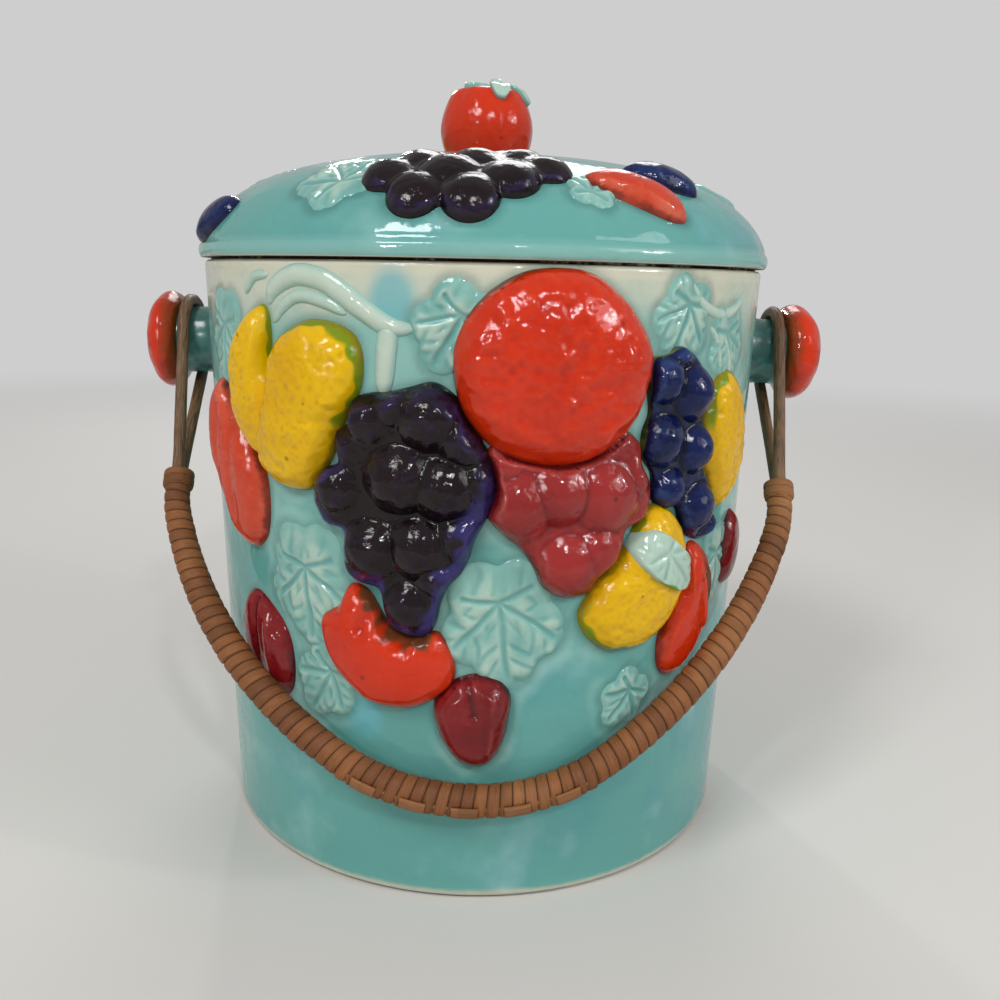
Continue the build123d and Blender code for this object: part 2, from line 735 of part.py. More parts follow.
with BuildPart() as grip_binding:
    with BuildLine(bail_plane) as binding_line:
        Line(*grip_straight(-1, grip_start)[::-1])
        grip_line(grip_joints)
        Line(*grip_straight(1, grip_start))
    for radius, mode in ((binding_radius, Mode.ADD), (core_radius, Mode.SUBTRACT)):
        with BuildSketch(grip_end_plane(-1, grip_start)) as section:
            Circle(radius)
        sweep(section.sketch, path=binding_line.wire(), mode=mode)
keep("grip_binding", grip_binding.part)

for side, sign in (("left", -1), ("right", 1)):
    with BuildPart() as collar:
        with BuildSketch(grip_end_plane(sign, grip_start)):
            Circle(binding_radius + collar_thickness)
            Circle(binding_radius, mode=Mode.SUBTRACT)
        extrude(amount=-collar_length)
    keep(f"collar_{side}", collar.part)

    loop_up = bail_plane.x_dir * (sign * sin(lean)) + bail_plane.y_dir * cos(lean)
    loop_start = bail_plane.from_local_coords((sign * loop_middle, 0, 0))
    loop_plane = Plane(
        origin=loop_start, x_dir=bail_plane.z_dir, z_dir=bail_plane.z_dir.cross(loop_up)
    )
    loop_radius = neck_radius + loop_clearance + cane_radius
    throat_distance = hypot(strand_offset, loop_throat)
    touch = atan2(strand_offset, loop_throat) + acos(loop_radius / throat_distance)
    tail = grip_start + strand_tail
    with BuildPart() as cane_loop:
        strand = [
            (strand_offset, -tail / cos(lean)),
            (strand_offset, -loop_throat),
            (loop_radius * sin(touch), -loop_radius * cos(touch)),
        ]
        with BuildLine(loop_plane) as loop_line:
            FilletPolyline(*[(-x, y) for x, y in strand], radius=loop_throat_rounding)
            ThreePointArc((-strand[-1][0], strand[-1][1]), (0, loop_radius), strand[-1])
            FilletPolyline(*strand[::-1], radius=loop_throat_rounding)
        tail_start = loop_plane.from_local_coords((-strand_offset, -tail / cos(lean), 0))
        with BuildSketch(Plane(origin=tail_start, x_dir=bail_plane.z_dir, z_dir=loop_up)):
            Circle(cane_radius)
        sweep(path=loop_line.wire())
    keep(f"cane_loop_{side}", cane_loop.part)

(rib_x, rib_y), rib_angle = left_joints[-2]
with BuildPart() as grip_rib:
    with BuildLine(bail_plane) as rib_line:
        grip_line([left_joints[-2], left_joints[-1], right_joints[1]])
    rib_along = bail_plane.x_dir * cos(rib_angle) + bail_plane.y_dir * sin(rib_angle)
    rib_out = rib_along.cross(bail_plane.z_dir)
    rib_side = rib_out * cos(radians(rib_tilt)) + bail_plane.z_dir * sin(radians(rib_tilt))
    rib_origin = bail_plane.from_local_coords((rib_x, rib_y, 0))
    with BuildSketch(Plane(origin=rib_origin, x_dir=rib_side, z_dir=rib_along)):
        Circle(binding_radius + rib_thickness)
        with Locations((binding_radius, 0)):
            Rectangle(2 * binding_radius, rib_width, mode=Mode.INTERSECT)
        Circle(binding_radius, mode=Mode.SUBTRACT)
    sweep(path=rib_line.wire())
keep("grip_rib", grip_rib.part)
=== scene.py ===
"""Biscuit jar in glossy majolica glaze, with raised fruit, a fruit knob and a cane-bound bail.

Shapes are worked out in millimetres and written in metres. +Z is up and -Y is the front. A raised fruit or
leaf is a sprig: an outline on a seat (the wall, the lid or the knob) and a height above it at each point.
"""
from math import acos, atan2, cos, hypot, pi, radians, sin, tan

import bpy
import numpy as np
from mathutils import Matrix, Vector


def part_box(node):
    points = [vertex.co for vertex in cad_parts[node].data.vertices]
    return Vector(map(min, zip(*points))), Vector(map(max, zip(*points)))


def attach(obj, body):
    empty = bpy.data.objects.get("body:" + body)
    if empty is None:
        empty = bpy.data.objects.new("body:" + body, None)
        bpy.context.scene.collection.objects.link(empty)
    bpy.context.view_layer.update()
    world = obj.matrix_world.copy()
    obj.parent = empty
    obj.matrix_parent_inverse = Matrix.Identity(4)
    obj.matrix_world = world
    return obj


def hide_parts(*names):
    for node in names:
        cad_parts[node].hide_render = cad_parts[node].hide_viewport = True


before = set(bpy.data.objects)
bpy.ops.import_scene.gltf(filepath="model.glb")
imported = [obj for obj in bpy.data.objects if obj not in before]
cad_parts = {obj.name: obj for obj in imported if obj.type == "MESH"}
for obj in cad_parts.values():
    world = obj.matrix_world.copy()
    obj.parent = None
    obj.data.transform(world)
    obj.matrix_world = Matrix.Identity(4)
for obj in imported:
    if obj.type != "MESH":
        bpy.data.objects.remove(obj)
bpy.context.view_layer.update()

# --- sizes in mm, the same as the solids' ---------------------------------------------------------
MM = 0.001
body_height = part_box("jar_body")[1].z / MM
rim_radius, foot_radius, wall, floor_thickness = 68.0, 64.0, 5.0, 7.0
rim_rounding, foot_rounding, floor_rounding = 1.1, 2.4, 5.0
foot_ring_width, foot_recess = 5.0, 1.8
mouth_radius = rim_radius - wall
lid_crown, lid_overhang, lid_edge_gap, lid_thickness = 25.0, 1.3, 1.3, 4.6
bead_radius, bead_height, bead_inset = rim_radius + lid_overhang, 2.4, 0.7
flange_radius, flange_thickness, flange_depth, flange_rounding = mouth_radius - 0.8, 3.8, 6.0, 0.6
seat_radius = mouth_radius + 3.6
crown_power = 3
knob_radius, knob_foot_radius, knob_height, knob_belly = 11.0, 9.4, 17.2, 10.3
hinge_drop = 19.7
hinge_height = body_height - hinge_drop
neck_radius, neck_flare, neck_length, neck_root = 8.2, 1.2, 10.2, 1.5
cap_radius, cap_reach = 12.1, {"left": 7.0, "right": 8.7}
cap_lip, cap_back = 1.5, 3.4     # the cap's rolled inner edge comes this far in and has this radius
cane_radius, loop_clearance, loop_lean, loop_throat, throat_rounding = 1.45, 0.4, radians(2.5), 36.0, 25.0
loop_inset = 2.2             # from the cap's inside to the loop's cane
core_radius, binding_radius, collar_radius = 3.0, 3.5, 4.1
grip_start, collar_length, strand_tail, shoulder_radius = 38.0, 4.4, 4.0, 30.0
rest_height, rest_gap = 26.9, 0.5
grip_low = {"left": (54.4, 33.0), "right": (49.9, 35.0)}    # radius and swing in degrees of the lowest arc
binding_pitch, collar_pitch = 2.62, 2.2
weave_period = 4 * binding_pitch
weave_shift = -1.5           # the middle window of the weave lies this far from the grip's middle
rib_tilt, rib_width, rib_thickness = radians(30), 2.8, 0.9
end_slimming = 0.55          # the binding is drawn in by this much at either end of the grip

wall_scale = 66.0            # mm of wall for one radian of turn, a mean of rim and foot
edge_sink, back_depth = 0.5, 1.5     # a sprig's edge and its hidden back lie this deep under the surface
contact_height = 2.0         # a sprig that runs under another meets its edge this high
glaze_gap = 0.5              # between the rim and the thick glaze under the lid's edge


# --- arrays: noise, outlines, closed skins --------------------------------------------------------
def full_turn(count):
    """Angles once round, evenly spaced."""
    return np.linspace(0, 2 * pi, count, endpoint=False)


turn_grid = full_turn(720)


def ripple(x, y, size, seed=0):
    """Smooth noise from -1 to 1: random numbers on a square lattice, blended between its corners."""
    gx, gy = np.asarray(x) / size, np.asarray(y) / size
    ix, iy = np.floor(gx), np.floor(gy)
    fx, fy = gx - ix, gy - iy
    fx, fy = fx * fx * (3 - 2 * fx), fy * fy * (3 - 2 * fy)

    def corner(a, b):
        mixed = np.sin((ix + a) * 127.1 + (iy + b) * 311.7 + seed * 74.7) * 43758.5453
        return 2 * (mixed - np.floor(mixed)) - 1

    low = corner(0, 0) * (1 - fx) + corner(1, 0) * fx
    high = corner(0, 1) * (1 - fx) + corner(1, 1) * fx
    return low * (1 - fy) + high * fy


def step(low, high, value):
    """0 below low, 1 above high and a smooth rise between."""
    share = np.clip((np.asarray(value) - low) / (high - low), 0, 1)
    return share * share * (3 - 2 * share)


def bell(distance, width):
    """A rounded bump of the given half width: exp of minus the squared share."""
    return np.exp(-((distance / width) ** 2))


def skin(rings, ends=None, layers=None):
    """A closed surface and its numbers at each point: closed rings of points between two end points.

    Without ends, either end ring closes on its own middle. A layer may be one row, one column or one number.
    """
    rings = np.asarray(rings, float)
    count, around = rings.shape[:2]
    first, last = ends or (rings[0].mean(0), rings[-1].mean(0))
    verts = np.concatenate([[first], rings.reshape(-1, 3), [last]])
    here = 1 + np.arange(count * around).reshape(count, around)
    beside = np.roll(here, -1, axis=1)
    a, b, c, d = here[:-1], beside[:-1], beside[1:], here[1:]
    fans = [
        np.stack([np.zeros(around, int), beside[0], here[0]], -1),
        np.stack([np.full(around, len(verts) - 1), here[-1], beside[-1]], -1),
    ]
    sides = [np.stack(corners, -1).reshape(-1, 3) for corners in ((a, b, c), (a, c, d))]
    faces = np.concatenate(fans + sides)
    one, two, three = (verts[faces[:, k]] for k in range(3))
    if np.einsum("ij,ij->", one, np.cross(two, three)) < 0:
        faces = faces[:, ::-1]
    values = {}
    for name, grid in (layers or {}).items():
        grid = np.array(np.broadcast_to(grid, (count, around)), float)
        values[name] = np.concatenate([[grid[0].mean()], grid.reshape(-1), [grid[-1].mean()]])
    return verts, faces, values


def piece(name, skins, look, body, *nodes):
    """One mesh object from closed skins, riding on a body and standing for CAD nodes.

    A look is a material and the name of its slot.
    """
    material, slot = look
    offset, verts, faces = 0, [], []
    for points, corners, _ in skins:
        verts.append(points)
        faces.append(corners + offset)
        offset += len(points)
    mesh = bpy.data.meshes.new(name)
    mesh.from_pydata(np.concatenate(verts) * MM, [], np.concatenate(faces))
    for layer in sorted({key for _, _, values in skins for key in values}):
        numbers = np.concatenate([values.get(layer, np.zeros(len(points))) for points, _, values in skins])
        mesh.attributes.new(layer, "FLOAT", "POINT").data.foreach_set("value", numbers.astype(np.float32))
    mesh.polygons.foreach_set("use_smooth", np.ones(len(mesh.polygons), bool))
    mesh.update()
    mesh.materials.append(material)
    thing = bpy.data.objects.new(name, mesh)
    bpy.context.scene.collection.objects.link(thing)
    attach(thing, body)
    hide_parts(*nodes)


def revolved(reach, height, turn, layers, centre=(0.0, 0.0)):
    """Grids of reach and height, turned about an upright axis on which their end rows lie."""
    reach, height = np.broadcast_arrays(reach, height)
    rings = np.stack([centre[0] + reach * np.sin(turn), centre[1] - reach * np.cos(turn), height], -1)
    grids = {key: np.broadcast_to(grid, reach.shape)[1:-1] for key, grid in layers.items()}
    return skin(rings[1:-1], [(*centre, height[0, 0]), (*centre, height[-1, 0])], grids)


def turned(profile, spokes, wobble, seed, layers, centre=(0.0, 0.0)):
    """A profile of (radius, height) points turned about +Z; wobble moves the radius by smooth noise."""
    radius, height = np.asarray(profile, float).T[..., None]
    turn = full_turn(spokes)
    noise = ripple(4 + 3 * np.cos(turn), 4 + 3 * np.sin(turn) + height / 12, 1.0, seed)
    grids = {key: np.asarray(grid, float)[:, None] for key, grid in layers.items()}
    return revolved(radius + wobble * noise * step(0, 6, radius), height, turn, grids, centre)


def curve_between(p0, p1, p2, p3, x):
    """The Catmull-Rom span from p1 to p2 at shares x."""
    bend, twist = 2 * p0 - 5 * p1 + 4 * p2 - p3, 3 * p1 - p0 - 3 * p2 + p3
    return 0.5 * (2 * p1 + (p2 - p0) * x + bend * x**2 + twist * x**3)


def smooth_route(points, count):
    """A smooth open curve through points."""
    padded = np.concatenate([[2 * points[0] - points[1]], points, [2 * points[-1] - points[-2]]])
    where = np.linspace(0, len(points) - 1, count)
    span = np.minimum(where.astype(int), len(points) - 2)
    return curve_between(*(padded[span + k] for k in range(4)), (where - span)[:, None])


def smooth_loop(points, count=10):
    """A smooth closed curve through points, with a count of stretches from each to the next."""
    points = np.asarray(points, float)
    span, part = np.divmod(np.arange(len(points) * count), count)
    corners = (points[(span + k) % len(points)] for k in (-1, 0, 1, 2))
    return curve_between(*corners, (part / count)[:, None])


def way_along(points):
    """The distance run along a line at each of its points."""
    return np.concatenate([[0], np.cumsum(np.hypot(*np.diff(points, axis=0).T))])


def right_of(points):
    """At each point of a line, the unit vector a quarter turn clockwise from the way it runs."""
    along = np.gradient(points, axis=0)
    along /= np.hypot(*along.T)[:, None]
    return np.stack([along[:, 1], -along[:, 0]], -1)


def at_marks(points, marks):
    """A line again, at the distances that marks gives for its length, and those distances."""
    way = way_along(points)
    keep, even = np.concatenate([[True], np.diff(way) > 1e-6]), marks(way[-1])
    return np.stack([np.interp(even, way[keep], points[keep, k]) for k in (0, 1)], -1), even


def softened(values, degrees):
    """A closed row of radii, blurred along the turn by a bell of the given width."""
    waves = np.arange(len(values) // 2 + 1)
    return np.fft.irfft(np.fft.rfft(values) * np.exp(-0.5 * (waves * radians(degrees)) ** 2), len(values))


# --- seats: where a sprig lies --------------------------------------------------------------------
def wall_radius(height):
    """Outer radius of the wall, a straight taper."""
    return foot_radius + (rim_radius - foot_radius) * height / body_height


def wall_seat(half_turn):
    """Seat on the wall: u is mm round from the front, v the height; half_turn of 1 is the back."""
    def place(u, v, lift):
        turn = u / wall_scale + half_turn * pi
        radius = wall_radius(v) + lift
        return np.stack(np.broadcast_arrays(radius * np.sin(turn), -radius * np.cos(turn), v), -1)
    return place


def crown_height(reach):
    """Height of the lid's outside above the table: a flattened dome, upright at its edge."""
    return body_height + lid_crown * np.sqrt(np.maximum(1 - (reach / bead_radius) ** crown_power, 0.012))


def dome_seat(radii, heights):
    """Seat on a dome about +Z: (u, v) is the way from its top along the surface, towards +X and +Y."""
    rise, run = np.gradient(heights), np.gradient(radii)
    way = way_along(np.stack([radii, heights], -1))

    def place(u, v, lift):
        far, turn = np.hypot(u, v), np.arctan2(v, u)
        radius, height = np.interp(far, way, radii), np.interp(far, way, heights)
        out, up = np.interp(far, way, -rise), np.interp(far, way, run)
        size = np.hypot(out, up)
        radius = radius + lift * out / size
        return np.stack([radius * np.cos(turn), radius * np.sin(turn), height + lift * up / size], -1)
    return place, lambda reach: np.interp(reach, radii, way)


# --- sprigs ---------------------------------------------------------------------------------------
class Sprig:
    """A raised shape on a seat: a star-shaped outline about a centre and a height form inside it.

    form(s, t, e, seed) gives the height in mm at s, t from the centre, where e is 0 at the centre
    and 1 at the outline. The height falls to the seat in a quarter circle over the roll's width, and
    stays below every sprig that overlies this one. Fringe and accent are masks for their glaze colours,
    from 0 to 1, as mask(s, t, inset, seed) with the mm inside the outline.
    """

    def __init__(self, centre, outline, form, roll=4.0, blur=2.5, under=(), fringe=None, accent=None,
                 rings=44, spokes=160):
        self.centre, self.form, self.roll, self.under = centre, form, roll, under
        self.fringe, self.accent, self.rings, self.spokes = fringe, accent, rings, spokes
        local = smooth_loop(outline) - np.array(centre)
        turn, reach = np.arctan2(local[:, 1], local[:, 0]) % (2 * pi), np.hypot(*local.T)
        order = np.argsort(turn)
        table = np.interp(turn_grid, turn[order], reach[order], period=2 * pi)
        self.table, self.broad = softened(table, blur), softened(table, 16)

    def measure(self, u, v):
        """Local s, t, the share of the way to the smoothed outline and the mm inside the true one."""
        s, t = u - self.centre[0], v - self.centre[1]
        turn, reach = np.arctan2(t, s) % (2 * pi), np.hypot(s, t)
        edge, broad = (np.interp(turn, turn_grid, table, period=2 * pi) for table in (self.table, self.broad))
        return s, t, reach / broad, edge - reach

    def lift(self, u, v, seed=0):
        """Height above the seat in mm."""
        s, t, e, inset = self.measure(u, v)
        rounding = np.sqrt(np.clip(1 - (1 - np.clip(inset / self.roll, 0, 1)) ** 2, 0, 1))
        height = self.form(s, t, np.minimum(e, 1.2), seed) * rounding - edge_sink * (1 - rounding)
        for other in self.under:
            away = -other.measure(u, v)[3]
            hidden = np.maximum(other.lift(u, v, seed) - 0.4, contact_height + 3 * away)
            height = np.minimum(height, np.where(away < 0, hidden, contact_height + 4 * away))
        return height

    def mesh(self, seat, seed=0):
        """The closed skin on a seat, with its glaze layers."""
        share = 1 - (1 - np.linspace(0, 1, self.rings + 1)[1:]) ** 1.5
        turn = full_turn(self.spokes)
        edge = np.interp(turn, turn_grid, self.table, period=2 * pi)
        s, t = share[:, None] * edge * np.cos(turn), share[:, None] * edge * np.sin(turn)
        u, v = s + self.centre[0], t + self.centre[1]
        height = self.lift(u, v, seed)
        near = 0.7
        beside = ((near, 0), (-near, 0), (0, near), (0, -near))
        around = [self.lift(u + du, v + dv, seed) for du, dv in beside]
        bend = np.mean(around, 0) - height
        inset = self.measure(u, v)[3]
        inside = step(0.4, 1.6, inset)
        layers = {
            # Hollows get a darker glaze colour: deeper glaze there, and painted shade.
            "pool": np.clip(bend / 0.16, 0, 1) * inside,
            "thin": np.clip(-bend / 0.16 - 0.25, 0, 1) * inside,
            "inset": inset,
            "lift": height,
        }
        for key, mask in (("fringe", self.fringe), ("accent", self.accent)):
            if mask:
                layers[key] = mask(s, t, inset, seed)
        back = np.array([1.0, 0.75, 0.4])[:, None]
        back_rings = seat(self.centre[0] + back * s[-1], self.centre[1] + back * t[-1], -back_depth)
        rings = np.concatenate([seat(u, v, height), back_rings])
        grids = {
            key: np.concatenate([grid, np.repeat(grid[-1:], len(back), 0)]) for key, grid in layers.items()
        }
        middle = self.lift(np.array(self.centre[0]), np.array(self.centre[1]), seed)
        ends = [seat(*np.array(self.centre), middle), seat(*np.array(self.centre), -back_depth)]
        return skin(rings, ends, grids)


def oval(centre, half_width, half_height, lean=0.0, tips=2.0):
    """Outline points of an oval; lean turns it anticlockwise in degrees, tips under 2 point its ends."""
    turn, tilt = full_turn(48), radians(lean)
    across = half_width * np.sign(np.cos(turn)) * np.abs(np.cos(turn)) ** (2 / tips)
    along = half_height * np.sin(turn)
    return [
        (centre[0] + a * cos(tilt) - b * sin(tilt), centre[1] + a * sin(tilt) + b * cos(tilt))
        for a, b in zip(across, along)
    ]


def spot(turn, height):
    """Wall coordinates of a turn in degrees and a height in mm."""
    return radians(turn) * wall_scale, height


def spots(pairs):
    """Wall coordinates of several (turn, height) pairs."""
    return [spot(*pair) for pair in pairs]


# --- height forms: s to the right, t up, e from 0 in the middle to 1 at the outline ---------------
def pillow(rise, fall=0.7, power=2.0, peel=0.0, grain=2.4):
    """A cushion that drops by a share towards its outline, with a bumpy peel."""
    def form(s, t, e, seed):
        bumps = ripple(s, t, grain, seed) + 0.5 * ripple(s, t, grain / 2, seed + 5)
        return rise * (1 - fall * e**power) + peel * bumps + 0.12 * ripple(s, t, 9, seed + 2)
    return form


def bunch(berries, pad, middle, sharp=5.0, droop=0.55, rough=0.12, fine=0.05, place=spot):
    """Round berries that swell out of a low pad, as the smooth maximum of the pad and their caps.

    A berry is (turn, height, radius, rise), with its reach in place of its height on the lid. It drops by a
    share, droop, of its radius towards its neighbours.
    """
    local = [(*np.subtract(place(*berry[:2]), place(*middle)), *berry[2:]) for berry in berries]

    def form(s, t, e, seed):
        total = np.exp(sharp * pad) * np.ones_like(s)
        for x, y, radius, rise in local:
            off = np.hypot(s - x, t - y) / radius
            total = total + np.exp(sharp * np.maximum(rise - droop * radius * off**2, -2))
        return np.log(total) / sharp + rough * ripple(s, t, 2.6, seed) + fine * ripple(s, t, 1.2, seed + 1)
    return form


def grooved(base, grooves):
    """A form with soft grooves, each (x0, y0, x1, y1, width, depth) in mm; a depth below 0 is a ridge."""
    def form(s, t, e, seed):
        height = base(s, t, e, seed)
        for x0, y0, x1, y1, width, depth in grooves:
            height = height - depth * bell(line_distance(s, t, x0, y0, x1, y1), width)
        return height
    return form


def line_distance(s, t, x0, y0, x1, y1):
    """Distance to a straight stretch."""
    dx, dy = x1 - x0, y1 - y0
    share = np.clip(((s - x0) * dx + (t - y0) * dy) / (dx * dx + dy * dy), 0, 1)
    return np.hypot(s - x0 - share * dx, t - y0 - share * dy)


# a leaf's veins: degrees from its tip and length as a share of its size
leaf_veins = ((0, 0.95), (66, 0.85), (-66, 0.85), (132, 0.7), (-132, 0.7))


def leaf_form(size, lean, rise=1.0):
    """A vine leaf's blade: pale folds between grooves that fan out from the stalk, and slanting side ones."""
    tilt, stalk = radians(lean), -0.3 * size
    tips = [(share * size * sin(radians(turn)), share * size * cos(radians(turn)))
            for turn, share in leaf_veins]

    def form(s, t, e, seed):
        across = s * cos(tilt) + t * sin(tilt) + 0.06 * size * ripple(s, t, 0.5 * size, seed)
        along = t * cos(tilt) - s * sin(tilt) + 0.06 * size * ripple(s, t, 0.5 * size, seed + 1)
        gap = np.min([line_distance(across, along, 0, stalk, *tip) for tip in tips], 0)
        way = np.hypot(across, along - stalk)
        pitch = max(2.8, size / 3.4)
        phase = (way - 0.9 * gap) / pitch + 0.35 * ripple(s, t, 5.0, seed + 3)
        side = bell((phase - np.round(phase)) * pitch, 0.75) * step(0.5, 2.2, gap)
        groove = bell(gap, 0.7) * step(1.0, 0.7, e)
        fold = 0.28 * ripple(s, t, 3.4, seed + 2)
        return rise * (0.8 + fold - 0.5 * groove - 0.26 * side - 0.3 * e**3)
    return form


def leaf_outline(centre, size, lean, stretch):
    """Outline of a vine leaf: five round lobes about its middle, drawn out towards its tip, and a notch."""
    turn, tilt = full_turn(120), radians(lean + 90)
    reach = size * (0.78 + 0.22 * np.abs(np.cos(2.5 * turn)) ** 0.8) * (1 + (stretch - 1) * np.cos(turn) ** 2)
    return [(centre[0] + f * cos(a + tilt), centre[1] + f * sin(a + tilt)) for f, a in zip(reach, turn)]


def facing(*sides):
    """Mask for an outline's sides that face these (direction in degrees, spread inward in mm) pairs."""
    def mask(s, t, inset, seed):
        turn, depth = np.arctan2(t, s), inset / (0.75 + 0.5 * ripple(s, t, 2.2, seed + 9))
        return np.max([
            step(0.1, 0.75, np.cos(turn - radians(direction))) * (1 - step(0.45, 1.0, depth / spread))
            for direction, spread in sides
        ], 0)
    return mask


def near_points(points, radius):
    """Mask for what lies near local points, within a ragged radius."""
    def mask(s, t, inset, seed):
        ragged = 1 + 0.35 * ripple(s, t, 1.6, seed + 3)
        return np.max([step(1.0, 0.55, np.hypot(s - x, t - y) * ragged / radius) for x, y in points], 0)
    return mask


# --- colours and shader maths ---------------------------------------------------------------------
def tint(red, green, blue):
    """A display colour from 0 to 255 as the linear colour that a shader takes."""
    share = np.array([red, green, blue]) / 255
    linear = np.where(share <= 0.04045, share / 12.92, ((share + 0.055) / 1.055) ** 2.4)
    return (*linear.tolist(), 1.0)


class Wire:
    """A shader number; arithmetic on it adds Math nodes."""

    def __init__(self, recipe, socket):
        self.recipe, self.socket = recipe, socket

    def math(self, operation, *values):
        return self.recipe.node("ShaderNodeMath", {"operation": operation}, dict(enumerate(values)))

    def __add__(self, other):
        return self.math("ADD", self, other)

    def __sub__(self, other):
        return self.math("SUBTRACT", self, other)

    def __rsub__(self, other):
        return self.math("SUBTRACT", other, self)

    def __mul__(self, other):
        return self.math("MULTIPLY", self, other)

    __radd__, __rmul__ = __add__, __mul__

    def between(self, low, high):
        """0 at low, 1 at high, clamped and smooth."""
        settings = {"interpolation_type": "SMOOTHSTEP"}
        return self.recipe.node("ShaderNodeMapRange", settings, {0: self, 1: low, 2: high, 3: 0.0, 4: 1.0})


class Nodes:
    """A node tree, with one method for any node."""

    def __init__(self, tree):
        self.tree = tree

    def node(self, kind, settings=None, inputs=None, out=0):
        """Any node: its settings first, then the values or links of its sockets."""
        made = self.tree.nodes.new(kind)
        for key, value in (settings or {}).items():
            setattr(made, key, value)
        for key, value in (inputs or {}).items():
            self.feed(made.inputs[key], value)
        return Wire(self, made.outputs[out])

    def feed(self, socket, value):
        """Link a wire to a socket, or set the socket's value."""
        if isinstance(value, Wire):
            self.tree.links.new(value.socket, socket)
        else:
            socket.default_value = value


class Recipe(Nodes):
    """A material's node tree with a Principled shader."""

    def __init__(self, name, slot=None):
        self.material, self.slot = bpy.data.materials.new(name), slot or name
        self.material.use_nodes = True
        super().__init__(self.material.node_tree)
        self.shader = self.tree.nodes["Principled BSDF"]
        self.object = self.node("ShaderNodeTexCoord", out="Object")

    def mix(self, first, second, share):
        """A colour between two colours, each a wire or display numbers."""
        first, second = (value if isinstance(value, Wire) else tint(*value) for value in (first, second))
        return self.node("ShaderNodeMix", {"data_type": "RGBA"}, {0: share, 6: first, 7: second}, 2)

    def noise(self, scale, detail=3.0, rough=0.5, where=None):
        """Noise about 0.5 with features of 1 / scale metres."""
        inputs = {"Vector": where or self.object, "Scale": scale, "Detail": detail, "Roughness": rough}
        return self.node("ShaderNodeTexNoise", None, inputs)

    def layer(self, name):
        """A number kept on the mesh's points."""
        return self.node("ShaderNodeAttribute", {"attribute_name": name}, out="Fac")

    def specks(self, scale, size):
        """Sparse round specks: near the middle of a few random cells."""
        cells = {"Vector": self.object, "Scale": scale}
        far = self.node("ShaderNodeTexVoronoi", None, cells, "Distance")
        some = self.node("ShaderNodeTexVoronoi", None, cells, "Color")
        chance = self.node("ShaderNodeSeparateColor", None, {0: some}, 0)
        return (1 - far.between(size * 0.7, size)) * chance.between(0.8, 0.82)

    def finish(self, colour, roughness, bump, strength, distance, shine):
        """Feed the shader and return the look; shine is its specular level."""
        self.feed(self.shader.inputs["Base Color"], colour)
        self.feed(self.shader.inputs["Roughness"], roughness)
        relief = {"Height": bump, "Strength": strength, "Distance": distance}
        normal = self.node("ShaderNodeBump", None, relief)
        self.feed(self.shader.inputs["Normal"], normal)
        self.shader.inputs["Specular IOR Level"].default_value = shine
        return self.material, self.slot


dark_speck = (24, 26, 26)


def glaze(name, colours, thin_share=0.5, mottle=0.5, speck=0.6, shine=0.4, slot=None):
    """Painted glaze: deep where it pools and as painted shade in hollows, pale where it's thin, with fringes,
    accents and a dark outline.
    """
    r = Recipe(name, slot)
    main, deep, pale, fringe, accent, line = colours
    broad, fine, dots = r.noise(75, 3), r.noise(420, 4, 0.6), r.noise(1500, 3)
    colour = r.mix(main, deep, broad.between(0.42, 0.72) * mottle)
    colour = r.mix(colour, pale, fine.between(0.56, 0.85) * (thin_share * 0.5))
    # Deep colour in creases: pooled glaze and painted shade.
    colour = r.mix(colour, deep, r.layer("pool") * 0.9)
    colour = r.mix(colour, pale, r.layer("thin") * fine.between(0.3, 0.6) * (thin_share * 0.8))
    colour = r.mix(colour, fringe, (r.layer("fringe") + (fine - 0.5) * 0.7).between(0.2, 1.0) * 0.9)
    colour = r.mix(colour, accent, r.layer("accent"))
    edge = 1 - (r.layer("inset") + (fine - 0.5) * 1.6).between(0.25, 1.1)
    colour = r.mix(colour, line, edge * broad.between(0.3, 0.6) * 0.85)
    colour = r.mix(colour, line, r.specks(260, 0.16) * speck)
    bump = broad * 0.5 + r.noise(190, 2) * 0.45 + fine * 0.12 + dots * 0.02
    return r.finish(colour, 0.09 + (fine - 0.5) * 0.10, bump, 0.7, 0.0020, shine)


def turquoise_glaze():
    """Turquoise glaze of the wall and lid: mint where thin, blue where thick, cream on rims and foot."""
    r = Recipe("turquoise_glaze")
    mint_green, cream = (158, 200, 190), (204, 204, 184)
    huge, broad, fine = r.noise(16, 2), r.noise(60, 3), r.noise(380, 4, 0.6)
    colour = r.mix((96, 160, 154), (68, 142, 158), (huge + broad * 0.5).between(0.76, 1.0) * 0.5)
    colour = r.mix(colour, mint_green, (broad + r.layer("pale") * 0.3).between(0.5, 0.85) * 0.6)
    colour = r.mix(colour, mint_green, r.layer("thin") * 0.75)
    worn = r.layer("cream") + (fine - 0.5) * 0.3 + (broad - 0.5) * 0.5
    colour = r.mix(colour, cream, worn.between(0.1, 1.0))
    colour = r.mix(colour, (98, 174, 182), r.layer("blue").between(0.1, 0.75) * 0.75)
    # Dark teal: deeper glaze in hollows and painted shade along the sprigs' outlines and on the lug necks.
    colour = r.mix(colour, (52, 108, 104), r.layer("pool") * (0.25 + fine * 0.5))
    # Dark brown for unglazed rings and painted shade: the shadow in the gap under the lid, under the foot and
    # on the lug necks.
    colour = r.mix(colour, (52, 40, 30), r.layer("bare") * (broad + fine).between(0.6, 1.0))
    colour = r.mix(colour, dark_speck, r.specks(75, 0.045))
    roughness = 0.08 + (fine - 0.5) * 0.06 + r.layer("bare") * 0.3
    bump = broad * 0.9 + r.noise(170, 2) * 0.3 + fine * 0.05
    return r.finish(colour, roughness, bump, 0.5, 0.0018, 0.4)


